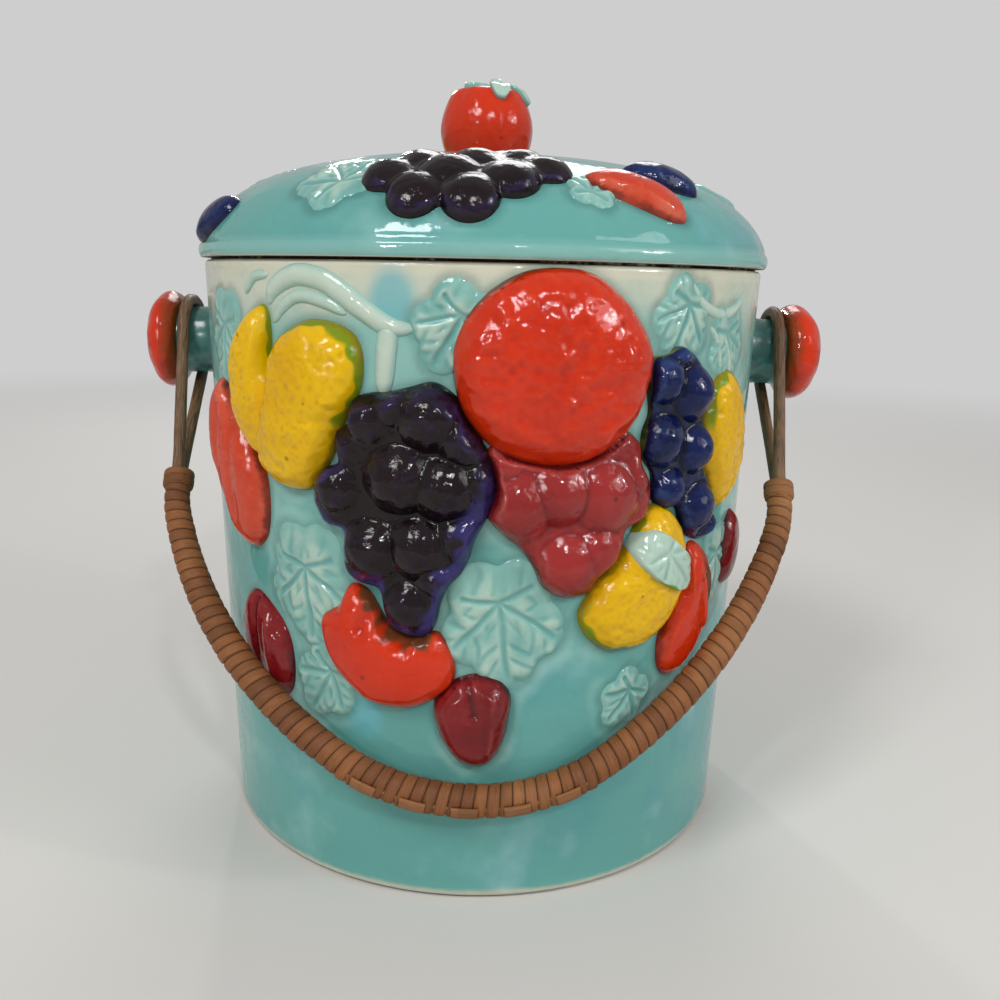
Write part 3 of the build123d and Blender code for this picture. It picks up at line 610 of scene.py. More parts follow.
def mint_glaze(name, main, pale, deep):
    """Pale mint glaze of leaves and vines: whitish on the folds, teal in the grooves."""
    r = Recipe(name, "mint_glaze")
    broad, fine = r.noise(70, 3), r.noise(420, 4, 0.6)
    colour = r.mix(main, deep, broad.between(0.4, 0.65) * 0.5)
    raised = r.layer("lift") + (fine - 0.5) * 0.5 + (broad - 0.5) * 0.8
    colour = r.mix(colour, pale, raised.between(0.45, 1.1) * 0.85)
    # Teal in the grooves: pooled glaze and painted shade.
    colour = r.mix(colour, deep, r.layer("pool") * 0.55)
    colour = r.mix(colour, pale, r.layer("thin") * 0.55)
    colour = r.mix(colour, (96, 150, 40), r.layer("fringe"))
    colour = r.mix(colour, dark_speck, r.specks(75, 0.045))
    bump = broad * 0.5 + r.noise(190, 2) * 0.4 + fine * 0.1
    return r.finish(colour, 0.09 + (fine - 0.5) * 0.06, bump, 0.5, 0.0016, 0.4)


def cane_bark():
    """Round cane: brown-grey with streaks that run along it."""
    r = Recipe("cane")
    fibre = r.node("ShaderNodeCombineXYZ", None, {0: r.layer("along") * 0.12, 1: r.layer("around") * 1.6})
    streak, broad = r.noise(2.2, 4, 0.6, fibre), r.noise(60, 2)
    colour = r.mix((118, 88, 60), (66, 47, 32), streak.between(0.42, 0.66))
    colour = r.mix(colour, (140, 112, 80), broad.between(0.52, 0.75) * 0.6)
    return r.finish(colour, 0.46 + (streak - 0.5) * 0.3, streak, 0.4, 0.0006, 0.35)


def split_cane(name, main, dark, pale):
    """Flat split cane: each turn its own brown, with fibres along the strip and dark edges."""
    r = Recipe(name, "split_cane")
    along, across, turn = r.layer("along"), r.layer("across"), r.layer("turn")
    fibre = r.node("ShaderNodeCombineXYZ", None, {0: along * 0.16, 1: across * 5.0, 2: turn * 3.7})
    strand = r.node("ShaderNodeCombineXYZ", None, {0: turn * 5.3, 1: turn * 1.7})
    streak, each, broad = r.noise(1.5, 4, 0.65, fibre), r.noise(1.0, 0, 0.5, strand), r.noise(45, 3)
    colour = r.mix(main, dark, each.between(0.35, 0.68) * 0.65)
    colour = r.mix(colour, pale, broad.between(0.46, 0.72) * 0.55)
    colour = r.mix(colour, dark, streak.between(0.5, 0.75) * 0.6)
    colour = r.mix(colour, pale, (1 - streak).between(0.55, 0.75) * 0.35)
    colour = r.mix(colour, (34, 18, 12), r.layer("gap"))
    return r.finish(colour, 0.55 + (streak - 0.5) * 0.3, streak, 0.5, 0.0006, 0.3)


turquoise = turquoise_glaze()
mint = mint_glaze("mint_glaze", (128, 178, 168), (178, 202, 186), (88, 150, 148))
vine_mint = mint_glaze("vine_glaze", (156, 192, 180), (192, 206, 190), (112, 168, 164))
orange_red = glaze("orange_glaze", [(202, 46, 8), (172, 28, 4), (222, 92, 46), (92, 62, 24), (100, 56, 30),
                                    (84, 32, 18)], 0.4, 0.4)
yellow = glaze("yellow_glaze", [(224, 176, 0), (206, 150, 0), (234, 202, 40), (92, 132, 18), (120, 90, 24),
                                (146, 116, 20)], 0.3, 0.6, 0.8, 0.3)
purple = glaze("purple_glaze", [(26, 13, 16), (12, 6, 9), (52, 42, 92), (26, 18, 20), (46, 40, 96),
                                (10, 8, 12)], 0.9, 0.5, 0.3, 0.3)
maroon = glaze("maroon_glaze", [(150, 40, 38), (100, 18, 22), (178, 90, 82), (200, 170, 150), (190, 140, 130),
                                (62, 20, 20)])
faded_red = glaze("faded_red_glaze", [(198, 66, 38), (184, 46, 14), (218, 116, 92), (92, 62, 24),
                                      (70, 40, 28), (84, 32, 18)], 1.0, slot="orange_glaze")
# The plum glaze's pale pink accent colour is a painted highlight on the middle plum's edge.
plum = glaze("plum_glaze", [(122, 20, 24), (76, 8, 12), (166, 70, 64), (214, 190, 168), (190, 140, 130),
                            (40, 12, 14)], slot="maroon_glaze")
blue = glaze("blue_glaze", [(8, 22, 72), (3, 6, 20), (52, 78, 132), (126, 134, 48), (8, 8, 20), (8, 10, 24)],
             0.7, 0.45, 0.4, 0.3)
cane = cane_bark()
binding_cane = split_cane("split_cane", (140, 88, 48), (90, 52, 28), (170, 120, 74))
rib_cane = split_cane("rib_cane", (146, 98, 60), (100, 64, 38), (172, 126, 84))

# --- raised fruit on the wall: turns in degrees from the front, heights in mm ---------------------
berry_spots = [
    (-18.5, 106, 5.2, 5.4), (-14.3, 109, 4.6, 5.2), (-8.2, 107, 6.6, 6.7), (-2.5, 103, 5.2, 6.4),
    (-24.5, 92, 6.2, 5.6), (-27.4, 89, 4.6, 3.8), (-13.2, 95, 6.6, 7.3), (-5.8, 93.5, 6.2, 7.2),
    (0.0, 95.5, 4.4, 5.2), (-18.2, 80, 6.8, 6.7), (-10.0, 81, 6.2, 7.0), (-3.2, 83.5, 5.4, 5.8),
    (-21.6, 76, 4.4, 4.6), (-11.8, 69, 5.4, 5.8), (-6.8, 74.5, 5.0, 5.4), (-22.6, 101, 3.4, 3.6),
]
grape_spots = [
    (6.0, 90, 7.0, 6.2), (13.2, 92.5, 5.6, 6.2), (21.5, 91.5, 7.2, 6.2), (27.0, 95.5, 5.0, 4.4),
    (15.0, 77.5, 6.6, 6.0), (20.6, 80, 5.6, 5.2), (4.0, 98, 3.6, 4.2),
]
blue_spots = [
    (32.5, 114.5, 4.6, 4.9), (39.5, 111.5, 5.4, 5.5), (36.0, 119.5, 2.8, 3.4), (33.0, 102.0, 5.2, 5.2),
    (41.5, 99.5, 4.8, 5.2), (35.5, 91.5, 4.2, 4.4), (43.5, 86.5, 5.2, 5.2), (48.0, 81.5, 3.2, 3.2),
]

berry_middle, grape_middle, blue_middle = (-12.5, 90.0), (15.5, 89.0), (38.5, 101.0)
wall_fruit = {}              # each kind's sprig and look, in the order of their seeds


def fruit(name, look, middle, outline, form, roll, **more):
    """A kind of fruit on the wall, its middle and outline given as (turn, height)."""
    sprig = Sprig(spot(*middle), spots(outline), form, roll, **more)
    wall_fruit[name] = sprig, look
    return sprig


orange = fruit(
    "orange", orange_red, (12.1, 117.0),
    [(12.4, 136), (17.6, 135.2), (22.6, 131.4), (26.6, 126.6), (29.4, 120.6), (29.4, 115.6), (28.2, 110.6),
     (25.8, 104.8), (21, 100), (14.6, 97.8), (7.6, 98.6), (1.6, 101.8), (-2.8, 107.6), (-4.6, 114.4),
     (-4.6, 121), (-2.2, 127.6), (2, 132.4), (7, 135.4)],
    pillow(7.8, 0.42, 2.6, 0.4, 3.0), 6.0, fringe=facing((150, 0.7), (75, 0.5)), rings=80, spokes=280,
)
blackberries = fruit(
    "blackberries", purple, berry_middle,
    [(-19, 111.5), (-15.5, 112), (-12, 113), (-8, 114.2), (-5, 112.5), (-3, 110), (-1.5, 106.5),
     (0.6, 102.5), (2.2, 99), (3, 93), (1.7, 88), (-0.5, 83), (-1.5, 79), (-3, 75.5), (-5, 73), (-6.5, 69),
     (-7.5, 64), (-10, 61.5), (-15, 63), (-16.5, 67), (-17.5, 71), (-22, 72.5), (-24, 76), (-24.5, 83),
     (-28, 84), (-30, 88), (-30.2, 92), (-28, 95.5), (-25, 97.5), (-25.5, 103), (-23, 105.5), (-22, 110)],
    bunch(berry_spots, 3.2, berry_middle), 3.4, blur=1.2, under=(orange,),
    accent=facing((-50, 6.5), (-140, 5.0)), rings=90, spokes=300,
)
maroon_grapes = fruit(
    "maroon_grapes", maroon, grape_middle,
    [(1, 101), (0.5, 96), (1.4, 90), (1.2, 87.5), (4, 83.8), (7, 81), (9.4, 77), (11, 73), (14, 70.4),
     (17, 70), (20, 71), (22, 74), (24.5, 76.5), (26, 80), (27, 84), (30.5, 86), (31.4, 90), (31, 94),
     (28.8, 98), (28.4, 102), (25, 105), (18, 106), (10, 106), (4, 104.5)],
    bunch(grape_spots, 3.0, grape_middle, 5.0, 0.42), 3.4, blur=1.4, under=(orange, blackberries),
    fringe=facing((-125, 0.8)), rings=80, spokes=260,
)
blue_grapes = fruit(
    "blue_grapes", blue, blue_middle,
    [(30, 119), (33, 119.6), (36, 121.4), (39.5, 120), (42, 117.5), (44.2, 113), (43.8, 107), (45.4, 102),
     (46, 97), (45, 93.5), (47.6, 90.5), (48.8, 87), (50.2, 83), (50, 79.8), (47, 78.2), (43, 79.6),
     (40, 82), (38.6, 87), (35, 87), (31.8, 90), (31.5, 95), (29, 99), (28.9, 104), (30, 108), (29.4, 113)],
    bunch(blue_spots, 1.8, blue_middle, 6.0), 2.6, blur=2.0, under=(orange, maroon_grapes),
    fringe=facing((165, 0.7)), rings=80, spokes=280,
)
low_lemon_middle = (30.5, 72.0)
low_lemon_outline = [
    (19.5, 70), (18, 66), (20, 61), (24, 57.5), (28, 57), (32.5, 57.5), (37, 61), (40, 66), (42, 71),
    (41.5, 76), (39.8, 83), (36.5, 87.2), (32.5, 88.8), (29.6, 86), (25, 77.5), (21, 73),
]
leaf_middle = (34.0, 77.6)
smooth_lemon = Sprig(spot(*low_lemon_middle), spots(low_lemon_outline), pillow(5.8, 0.4, 2.4), 5.0)
lemon_low = fruit(
    "lemon_low", yellow, low_lemon_middle, low_lemon_outline,
    pillow(5.8, 0.4, 2.4, 0.2, 1.35), 5.0, under=(maroon_grapes, blue_grapes),
    fringe=facing((-100, 2.4), (-40, 1.6), (60, 2.0)),
)


def leaf_on_lemon(s, t, e, seed):
    """A small leaf's blade, raised by the lemon under it."""
    u, v = spot(*leaf_middle)
    return 0.9 + smooth_lemon.lift(s + u, t + v) + leaf_form(9.0, 222.0, 0.8)(s, t, e, seed)


fruit(
    "lemon_leaf", mint, leaf_middle,
    [(27, 82), (31, 84.2), (36, 80.6), (40, 75.4), (41, 71.5), (37, 69.6), (33, 71.5), (29.6, 74.2),
     (27, 78)],
    leaf_on_lemon, 0.8, under=(maroon_grapes, blue_grapes), fringe=facing((-60, 2.2)), rings=36, spokes=140,
)
tomato = fruit(
    "tomato", orange_red, (-16.4, 56.5),
    [(-24, 71), (-22.2, 72), (-19.4, 70.5), (-17.6, 67), (-16, 64.4), (-12, 61.6), (-7.6, 63.2), (-5.4, 61),
     (-3.9, 56), (-4.2, 52), (-7, 48.5), (-11, 46), (-15, 45.2), (-20, 46), (-24, 49.5), (-27, 53),
     (-29, 58), (-29.8, 63.2), (-27.4, 65.5), (-25.7, 67)],
    grooved(pillow(5.7, 0.42, 2.4, 0.1, 2.6), [(0.5, 9.5, 4, 5.5, 2.6, 2.4), (-2.5, 11, -4, 7, 1.6, 1.2)]),
    4.0, blur=1.6, under=(blackberries,), rings=60, spokes=220,
    accent=near_points([(0.2, 9.6), (2.6, 7.0), (5.2, 6.0), (-2.0, 12.0), (-3.0, 14.0), (8.0, 5.4)], 2.8),
)
lemon_high = fruit(
    "lemon_high", yellow, (-30.6, 108.0),
    [(-38.8, 117), (-36.4, 122), (-31, 125), (-25.5, 124.8), (-21.4, 122.5), (-20, 118), (-20.6, 112),
     (-22.5, 108), (-24.6, 103), (-26, 98.5), (-29, 93), (-31.4, 90.3), (-36, 90), (-40, 91.5), (-43, 95),
     (-42, 104), (-40, 111)],
    pillow(6.1, 0.36, 2.8, 0.2, 1.35), 5.0, under=(blackberries,),
    fringe=facing((92, 3.4), (34, 2.6), (-115, 0.8)), rings=66, spokes=240,
)
banana = fruit(
    "banana", yellow, (-44.2, 110.0),
    [(-42.4, 127.6), (-40.2, 127.2), (-39.6, 123), (-39.5, 116), (-37.6, 108), (-37.6, 98), (-41.4, 95),
     (-45.8, 98.6), (-49, 104.4), (-50, 110), (-49, 118), (-46, 124.6)],
    pillow(5.4, 0.36, 2.6, 0.18, 1.35), 4.4, fringe=facing((176, 1.3), (104, 0.8)), rings=54, spokes=190,
)
fruit(
    "pepper", faded_red, (-54.5, 92.5),
    [(-58.4, 111.4), (-54.6, 107.6), (-49, 102), (-45.4, 97), (-43, 92.2), (-42.4, 86), (-43.4, 79),
     (-46, 75.4), (-49.4, 74.4), (-52.4, 77.4), (-56, 84), (-60, 92), (-62.2, 100), (-61.4, 108)],
    grooved(pillow(4.8, 0.4, 2.4, 0.06, 3.0), [(-2.5, 13, 1.0, -14, 1.3, 0.6), (4.4, 8, 5.6, -10, 1.3, 0.5)]),
    4.2, under=(banana, lemon_high), accent=near_points([(0.8, -17.6), (-1.4, 18.4)], 3.0),
)
fruit(
    "chilli", orange_red, (42.6, 64.0),
    [(43.6, 78.6), (47.4, 77), (50.4, 72), (51.4, 67), (50.8, 61), (48, 55), (44.4, 50), (40.6, 47.6),
     (37.6, 50), (36.6, 55), (37.4, 61), (39.6, 67), (42.2, 70.5), (42.2, 75)],
    grooved(pillow(4.4, 0.42, 2.4, 0.06, 3.0), [(3.4, 6, 6.4, -8, 0.7, -0.5), (5.2, 6, 8.2, -8, 1.2, 0.9)]),
    3.6, under=(lemon_low, blue_grapes),
    accent=lambda s, t, inset, seed: step(4.6, 6.0, s + 0.2 * t) * step(16, 6, t),
)
fruit(
    "lemon_side", yellow, (53.0, 100.0),
    [(50, 115.6), (53.6, 115.2), (57, 110), (59.4, 104), (60.4, 98), (59.6, 91.6), (56.8, 87), (53, 84.4),
     (49.5, 87), (47.3, 92), (45, 97), (44.4, 105), (45.5, 109), (47, 113)],
    pillow(3.9, 0.42, 2.4, 0.18, 1.4), 4.2, under=(blue_grapes,), fringe=facing((95, 3.4)),
)
fruit(
    "plum_middle", plum, (-0.8, 43.6),
    [(0, 54), (4.3, 52.6), (6.3, 49), (6.1, 44), (5, 38), (3, 34.2), (0, 32.8), (-3.5, 34.4), (-6.4, 39),
     (-7.9, 44.6), (-7.4, 48.6), (-4, 52.6)],
    grooved(pillow(5.2, 0.42, 2.4, 0.06, 3.0), [(-1, 10, 0.4, 3, 1.1, 0.9), (4.2, 6, 3.6, -6, 0.8, -0.35)]),
    # The pale accent along the lower-left edge is a painted highlight.
    3.8, under=(tomato,), accent=facing((-140, 0.8)),
)
fruit(
    "plum_left", plum, (-44.4, 53.8),
    [(-48, 64.4), (-43, 61.6), (-40, 58.6), (-38.2, 54), (-37.8, 48), (-39, 43), (-43, 40.2), (-48.6, 42),
     (-53, 48), (-54, 57), (-52, 63)],
    grooved(pillow(3.5, 0.5, 2.4), [(-3.4, 9, -1.0, -8, 1.2, 1.0), (1.6, 7, 3.4, -8, 1.0, -0.5)]), 3.2,
)
plum_spot = spot(62.6, 72.7)
wall_fruit["plum_right"] = Sprig(plum_spot, oval(plum_spot, 5.6, 9.4), pillow(2.8, 0.55, 2.4), 2.8), plum
fruit_sprigs = tuple(sprig for name, (sprig, _) in wall_fruit.items() if name != "lemon_leaf")


def leaf_sprig(middle, size, lean, stretch, roll, under, rings, spokes):
    """A low leaf that runs under the fruit."""
    return Sprig(middle, leaf_outline(middle, size, lean, stretch), leaf_form(size, lean), roll, 4.0, under,
                 rings=rings, spokes=spokes)


# leaves: turn, height, size in mm, lean of the tip and stretch towards it
wall_leaves = [
    (-33.0, 70.0, 12.4, 184.0, 1.2), (4.4, 65.2, 13.6, 186.0, 1.12), (-29.6, 48.6, 8.8, 150.0, 1.15),
    (-4.2, 124.4, 9.2, 150.0, 1.1), (37.0, 126.6, 8.8, 160.0, 1.15), (51.0, 121.0, 8.0, 190.0, 1.25),
    (-56.0, 120.4, 9.0, 176.0, 1.3), (29.6, 45.4, 6.6, 140.0, 1.2), (55.0, 71.4, 7.0, 180.0, 1.5),
]
leaf_sprigs = [
    leaf_sprig(spot(turn, height), size, lean, stretch, 2.4, fruit_sprigs, 46, 200)
    for turn, height, size, lean, stretch in wall_leaves
]


def ridge(seat, route, width, rise, seed=0, tail=0.35):
    """A vine: a soft ridge carried along a route of wall points, thinner towards its ends."""
    points = smooth_route(np.array(spots(route)), 90)
    way = np.linspace(0, 1, len(points))[:, None]
    swell = 1 - tail * np.abs(2 * way - 1) ** 3
    swell = swell * np.maximum(1 - np.abs(2 * way - 1) ** 8, 0.02) ** 0.5
    turn = full_turn(24)
    side, up = np.cos(turn) * width / 2, np.sin(turn)
    lift = np.where(up > 0, rise * np.maximum(up, 0) ** 1.5 * swell - 0.05, -edge_sink) * np.ones_like(swell)
    lift = lift + 0.05 * ripple(way * 60, turn * 2, 3, seed)
    u, v = (points[:, k:k + 1] - right_of(points)[:, k:k + 1] * side * swell for k in (0, 1))
    ends = [seat(*points[k], -edge_sink) for k in (0, -1)]
    return skin(seat(u, v, lift), ends, {"thin": np.clip(up, 0, 1) * 0.9, "lift": np.maximum(lift, 0)})


vine_routes = [              # turns and heights, width and rise
    ([(-40, 127.6), (-38.4, 131), (-33.4, 133.6), (-28, 133), (-24, 130.6), (-20, 127.4), (-15.4, 124.4),
      (-11, 124)], 4.6, 1.2),
    ([(-15.2, 126), (-16.0, 119), (-16.6, 111.0)], 4.4, 1.1),
    ([(-39.0, 124.0), (-36.4, 127.4), (-32.4, 129.6), (-27.4, 128.6), (-23, 126.4)], 2.8, 0.8),
    ([(-47.0, 129.6), (-44.0, 133.0), (-40.0, 133.6)], 2.2, 0.7),
    ([(38, 134.0), (41.6, 129.6), (47.6, 127.4), (53, 128.6), (57, 132)], 2.6, 0.9),
    ([(44.6, 125), (47.4, 121), (49.2, 115.4)], 2.0, 0.8),
    ([(48.6, 124), (51.4, 119), (53, 113)], 2.0, 0.8),
]
# blue patches in the wall's glaze: turn, height and size
blue_runs = [(-15.0, 129.6, 4.6), (-21.5, 42, 4.4), (165.0, 129.6, 4.6), (158.5, 42, 4.4)]


def around_front(u, turn):
    """mm round the wall from a turn in degrees, the short way."""
    whole = 2 * pi * wall_scale
    return (u - radians(turn) * wall_scale + whole / 2) % whole - whole / 2


def rounded(radius, height, rounding, turns):
    """Profile points of a rounding about a middle at radius and height; turn 0 is outward and pi / 2 up."""
    return [(radius + rounding * cos(a), height + rounding * sin(a)) for a in turns]


def jar_wall():
    """The jar: outer wall, rim, inside, floor and foot ring in one turned skin, with its glaze layers."""
    foot_inner = foot_radius - foot_rounding - foot_ring_width
    rim_start, floor_start = body_height - rim_rounding, floor_thickness + floor_rounding
    outer_rows = np.linspace(foot_rounding, rim_start, 150)
    bend = np.linspace(0, pi / 2, 5)
    under = [(0, foot_recess), (foot_inner - foot_recess, foot_recess), (foot_inner, 0.0)]
    outer = rounded(foot_radius - foot_rounding, foot_rounding, foot_rounding, bend[:-1] - pi / 2)
    outer += [(wall_radius(row), row) for row in outer_rows]
    outer += rounded(rim_radius - rim_rounding, rim_start, rim_rounding, bend[1:])
    inner = rounded(mouth_radius + rim_rounding, rim_start, rim_rounding, pi / 2 + bend)
    inner += [(mouth_radius - (rim_radius - foot_radius) * (body_height - row) / body_height, row)
              for row in np.linspace(body_height - 8, floor_start, 12)]
    inner += rounded(foot_radius - wall - floor_rounding, floor_start, floor_rounding, -bend[1:])
    inner += [(40, floor_thickness), (20, floor_thickness), (0, floor_thickness)]
    radius, height = np.array(under + outer + inner).T
    rows = np.arange(len(radius))
    outside = ((rows >= len(under)) & (rows < len(under) + len(outer)))[:, None]
    turn = np.linspace(-pi, pi, 480, endpoint=False)
    u, v = np.meshgrid(turn * wall_scale, height)
    wavy = outside & (v > 3) & (v < body_height - 1.5)
    wave = (0.16 * ripple(u, v, 24, 3) + 0.05 * ripple(u, v, 9, 4)) * wavy
    gap = np.min([-sprig.measure(around_front(u, half), v)[3]
                  for half in (0, 180) for sprig in (*fruit_sprigs, *leaf_sprigs)], 0)
    cream = 0.8 * step(body_height - 20, body_height - 3, v) + 0.5 * step(body_height - 3, body_height - 1, v)
    unseen = np.where(radius > foot_inner - 3, 0.3, 0.15)[:, None]
    layers = {
        # Darker next to the fruit's and leaves' outlines: pooled glaze and painted shade.
        "pool": bell(np.maximum(gap, 0), 1.1) * outside * 0.8,
        "pale": step(5, 1.5, gap) * outside * 0.6 + step(body_height - 54, body_height - 10, v) * 1.4,
        "cream": np.where(outside, cream + step(3.4, 1.0, v), unseen),
        # Dark brown under the foot ring: unglazed clay and painted shade where it meets the table.
        "bare": (v < 0.4) * (radius > foot_inner - 1)[:, None],
        "blue": np.max([bell(np.hypot(around_front(u, run), (v - high) / 1.3), size)
                        for run, high, size in blue_runs], 0),
    }
    piece("jar_wall", [revolved(radius[:, None] + wave, v, turn, layers)], turquoise, "jar", "jar_body")


def jar_sprigs():
    """Fruit, leaves and vines on the front and, half a turn round, on the back."""
    for half, side in enumerate(("front", "back")):
        seat, seed = wall_seat(half), 40 * half
        for count, (name, (sprig, look)) in enumerate(wall_fruit.items()):
            piece(f"{name}_relief_{side}", [sprig.mesh(seat, count + seed)], look, "jar", f"{name}_{side}")
        blades = [sprig.mesh(seat, 60 + k + seed) for k, sprig in enumerate(leaf_sprigs)]
        piece(f"leaf_relief_{side}", blades, mint, "jar", f"leaves_{side}")
        stems = [ridge(seat, *vine, k) for k, vine in enumerate(vine_routes)]
        piece(f"vine_relief_{side}", stems, vine_mint, "jar", f"vines_{side}")


def lugs():
    """Two lugs: a flared round neck and a domed cap, turned about the X axis."""
    start, seat = wall_radius(hinge_height) - neck_root, wall_radius(hinge_height) + neck_length
    inner, widest = seat - cap_lip, seat - cap_lip + cap_back
    way, tip = np.linspace(0, 1, 16), np.linspace(0, pi / 2, 16)
    girth = neck_radius + neck_flare * ((1 - way) ** 6 + way**6) + 0.5 * (1 - way) ** 9
    neck = [(0, start), *zip(girth, start + (seat - start) * way), (0, seat)]
    # The neck's darker teal and brown are painted shade, strongest at its root on the wall and under the cap.
    pool = {"pool": [0, *(1.3 + 0.5 * (way < 0.12) + 0.4 * (way > 0.7)), 0], "bare": [0.4] * len(neck)}
    for side, sign in (("left", -1), ("right", 1)):
        dome = seat + cap_reach[side] - widest
        cap = [(0, inner), *rounded(cap_radius - cap_back, widest, cap_back, tip[::3] - pi / 2)]
        cap += [(cap_radius * cos(a) ** 0.94, widest + dome * sin(a)) for a in tip[1:]]
        rear = {"inset": [9] * len(cap), "fringe": [1, *np.linspace(1, 0.45, 6), 0.2, *[0] * (len(cap) - 8)]}
        neck_skin, cap_skin = turned(neck, 72, 0.12, 5, pool), turned(cap, 84, 0.35, 7, rear)
        piece(f"lug_neck_turned_{side}", [along_x(neck_skin, sign)], turquoise, "jar", f"lug_neck_{side}")
        piece(f"lug_cap_domed_{side}", [along_x(cap_skin, sign)], orange_red, "jar", f"lug_cap_{side}")


def along_x(shell, sign):
    """A skin turned about +Z, laid along X at the hinge."""
    verts, faces, layers = shell
    x, y, z = verts.T
    laid = np.stack([sign * z, y, hinge_height + x], -1)
    return laid, faces if sign < 0 else faces[:, ::-1], layers


# --- lid ------------------------------------------------------------------------------------------
crown_reach = bead_radius * np.sin(np.linspace(0, 1, 90) * pi / 2 * 0.93)
lid_seat, lid_way = dome_seat(crown_reach, crown_height(crown_reach))


def lid_spot(turn, reach):
    """Seat coordinates of a turn from the front and a reach from the middle."""
    way = float(lid_way(reach))
    return way * sin(radians(turn)), -way * cos(radians(turn))


def lid_shell():
    """The lid: crown, bead, seat, flange and hollow underside in one turned skin."""
    bead_bottom, edge_height = body_height + glaze_gap, body_height + lid_edge_gap + bead_height
    half_bead, bead_turn = (edge_height - bead_bottom) / 2, np.linspace(pi / 2, -pi / 2, 9)
    crown_reaches = crown_reach[crown_reach < bead_radius - 0.75]
    crown = [*zip(crown_reaches, np.maximum(crown_height(crown_reaches), edge_height))]
    bead = [(bead_radius - bead_inset * (1 - cos(a)), bead_bottom + half_bead * (1 + sin(a)))
            for a in bead_turn]
    hollow, flange_low, lip = flange_radius - flange_thickness, body_height - flange_depth, flange_rounding
    under = [
        (seat_radius, bead_bottom), (seat_radius, body_height + 0.02), (flange_radius, body_height + 0.02),
        (flange_radius, flange_low + lip), (flange_radius - lip, flange_low),
        (hollow + lip, flange_low), (hollow, flange_low + lip),
    ]
    inner = [
        (r, body_height + (lid_crown - lid_thickness) * (1 - (r / hollow) ** crown_power) ** 0.5)
        for r in hollow * np.sin(np.linspace(0.96, 0, 24) * pi / 2)
    ]
    radius, height = np.array(crown + bead + under + inner).T[..., None]
    row, turn = np.arange(len(radius))[:, None], full_turn(360)
    outside = (row > 0) & (row < len(crown) - 3)
    on_bead = (row > len(crown) + 6) & (row < len(crown) + 9)
    below = height < bead_bottom + 0.05
    wave = 0.1 * ripple(radius * np.sin(turn), radius * np.cos(turn), 16, 8) * outside
    way = lid_way(radius)
    u, v = way * np.sin(turn), -way * np.cos(turn)
    gap = np.min([-sprig.measure(u, v)[3] for sprig in all_lid_sprigs], 0)
    layers = {
        # Darker next to the lid's fruit and leaves: pooled glaze and painted shade.
        "pool": bell(np.maximum(gap, 0), 1.4) * outside,
        "thin": step(edge_height + 1.2, bead_bottom + 1.6, height) * 0.55,
        "cream": np.where(on_bead, 0.9, below * 0.7),
        # Dark brown on the seat ring: unglazed clay and painted shadow in the gap under the lid's edge.
        "bare": below * (radius > seat_radius - 0.1),
    }
    piece("lid_shell", [revolved(radius, height + wave, turn, layers)], turquoise, "lid", "lid")


def disc_outline(berries, centre):
    """Outline round a bunch: for each direction the furthest point of any berry's disc."""
    turn = full_turn(180)
    ray = np.stack([np.cos(turn), np.sin(turn)])
    far = np.zeros(len(turn))
    for place_turn, reach, radius, _ in berries:
        off = np.subtract(lid_spot(place_turn, reach), centre)
        along = off @ ray
        gap = radius**2 - (off @ off - along**2)
        far = np.maximum(far, np.where(gap > 0, along + np.sqrt(np.maximum(gap, 0)), 0))
    return [(centre[0] + f * cos(a), centre[1] + f * sin(a)) for f, a in zip(np.maximum(far, 4), turn)]


lid_berry_spots = [
    (-12.2, 63.4, 6.0, 3.3), (-2.6, 63.8, 6.2, 3.4), (-19.0, 58.4, 5.6, 3.0), (-7.2, 57.6, 6.2, 3.5),
    (4.8, 59.2, 6.0, 3.4), (-14.4, 52.2, 5.6, 2.6), (-2.2, 51.6, 5.8, 2.8), (12.4, 55.0, 5.6, 2.7),
    (8.4, 49.2, 5.2, 2.3),
]
lid_grape_spots = [
    (100.0, 44.0, 5.2, 3.6), (112.0, 46.0, 5.2, 3.8), (104.0, 53.0, 5.4, 4.0), (115.0, 55.0, 5.0, 3.6),
    (108.0, 61.0, 4.8, 3.2),
]


def lid_bunch(berries, middle, rings, spokes):
    """A bunch of berries on the lid."""
    centre = lid_spot(*middle)
    form = bunch(berries, 1.4, middle, 5.0, 0.34, 0.08, 0.0, lid_spot)
    return Sprig(centre, disc_outline(berries, centre), form, 2.2, 1.4, rings=rings, spokes=spokes)


def lid_fruit(turn, reach, half_width, half_length, lean, rise, tips=2.0, peel=0.0, **more):
    """A single fruit on the lid; lean is from the way up the crown, anticlockwise."""
    middle = lid_spot(turn, reach)
    outline = oval(middle, half_width, half_length, turn + lean, tips)
    return Sprig(middle, outline, pillow(rise, 0.55, 2.2, peel, 1.8), 2.8, rings=34, spokes=120, **more)


lid_pepper = lid_fruit(29.4, 61.4, 4.8, 11.8, 60.0, 3.4, 2.2)
lid_fruits = {
    "lid_berries": (lid_bunch(lid_berry_spots, (-3.6, 56.4), 64, 240), purple),
    "lid_grapes": (lid_bunch(lid_grape_spots, (107.5, 52.0), 50, 200), maroon),
    "lid_pepper": (lid_pepper, faded_red),
    "lid_plum_right": (lid_fruit(41.0, 55.4, 4.8, 9.2, 62.0, 3.5, under=(lid_pepper,)), blue),
    "lid_plum_left": (lid_fruit(-63.0, 66.4, 4.6, 9.8, -66.0, 3.0), blue),
    "lid_lemon": (lid_fruit(-122.0, 46.0, 8.8, 13.4, -58.0, 4.5, 1.8, 0.14, fringe=facing((60, 2))), yellow),
    "lid_orange": (lid_fruit(168.0, 48.0, 12.8, 12.8, 0.0, 5.5, 2.0, 0.18), orange_red),
}
lid_fruit_sprigs = tuple(sprig for sprig, _ in lid_fruits.values())
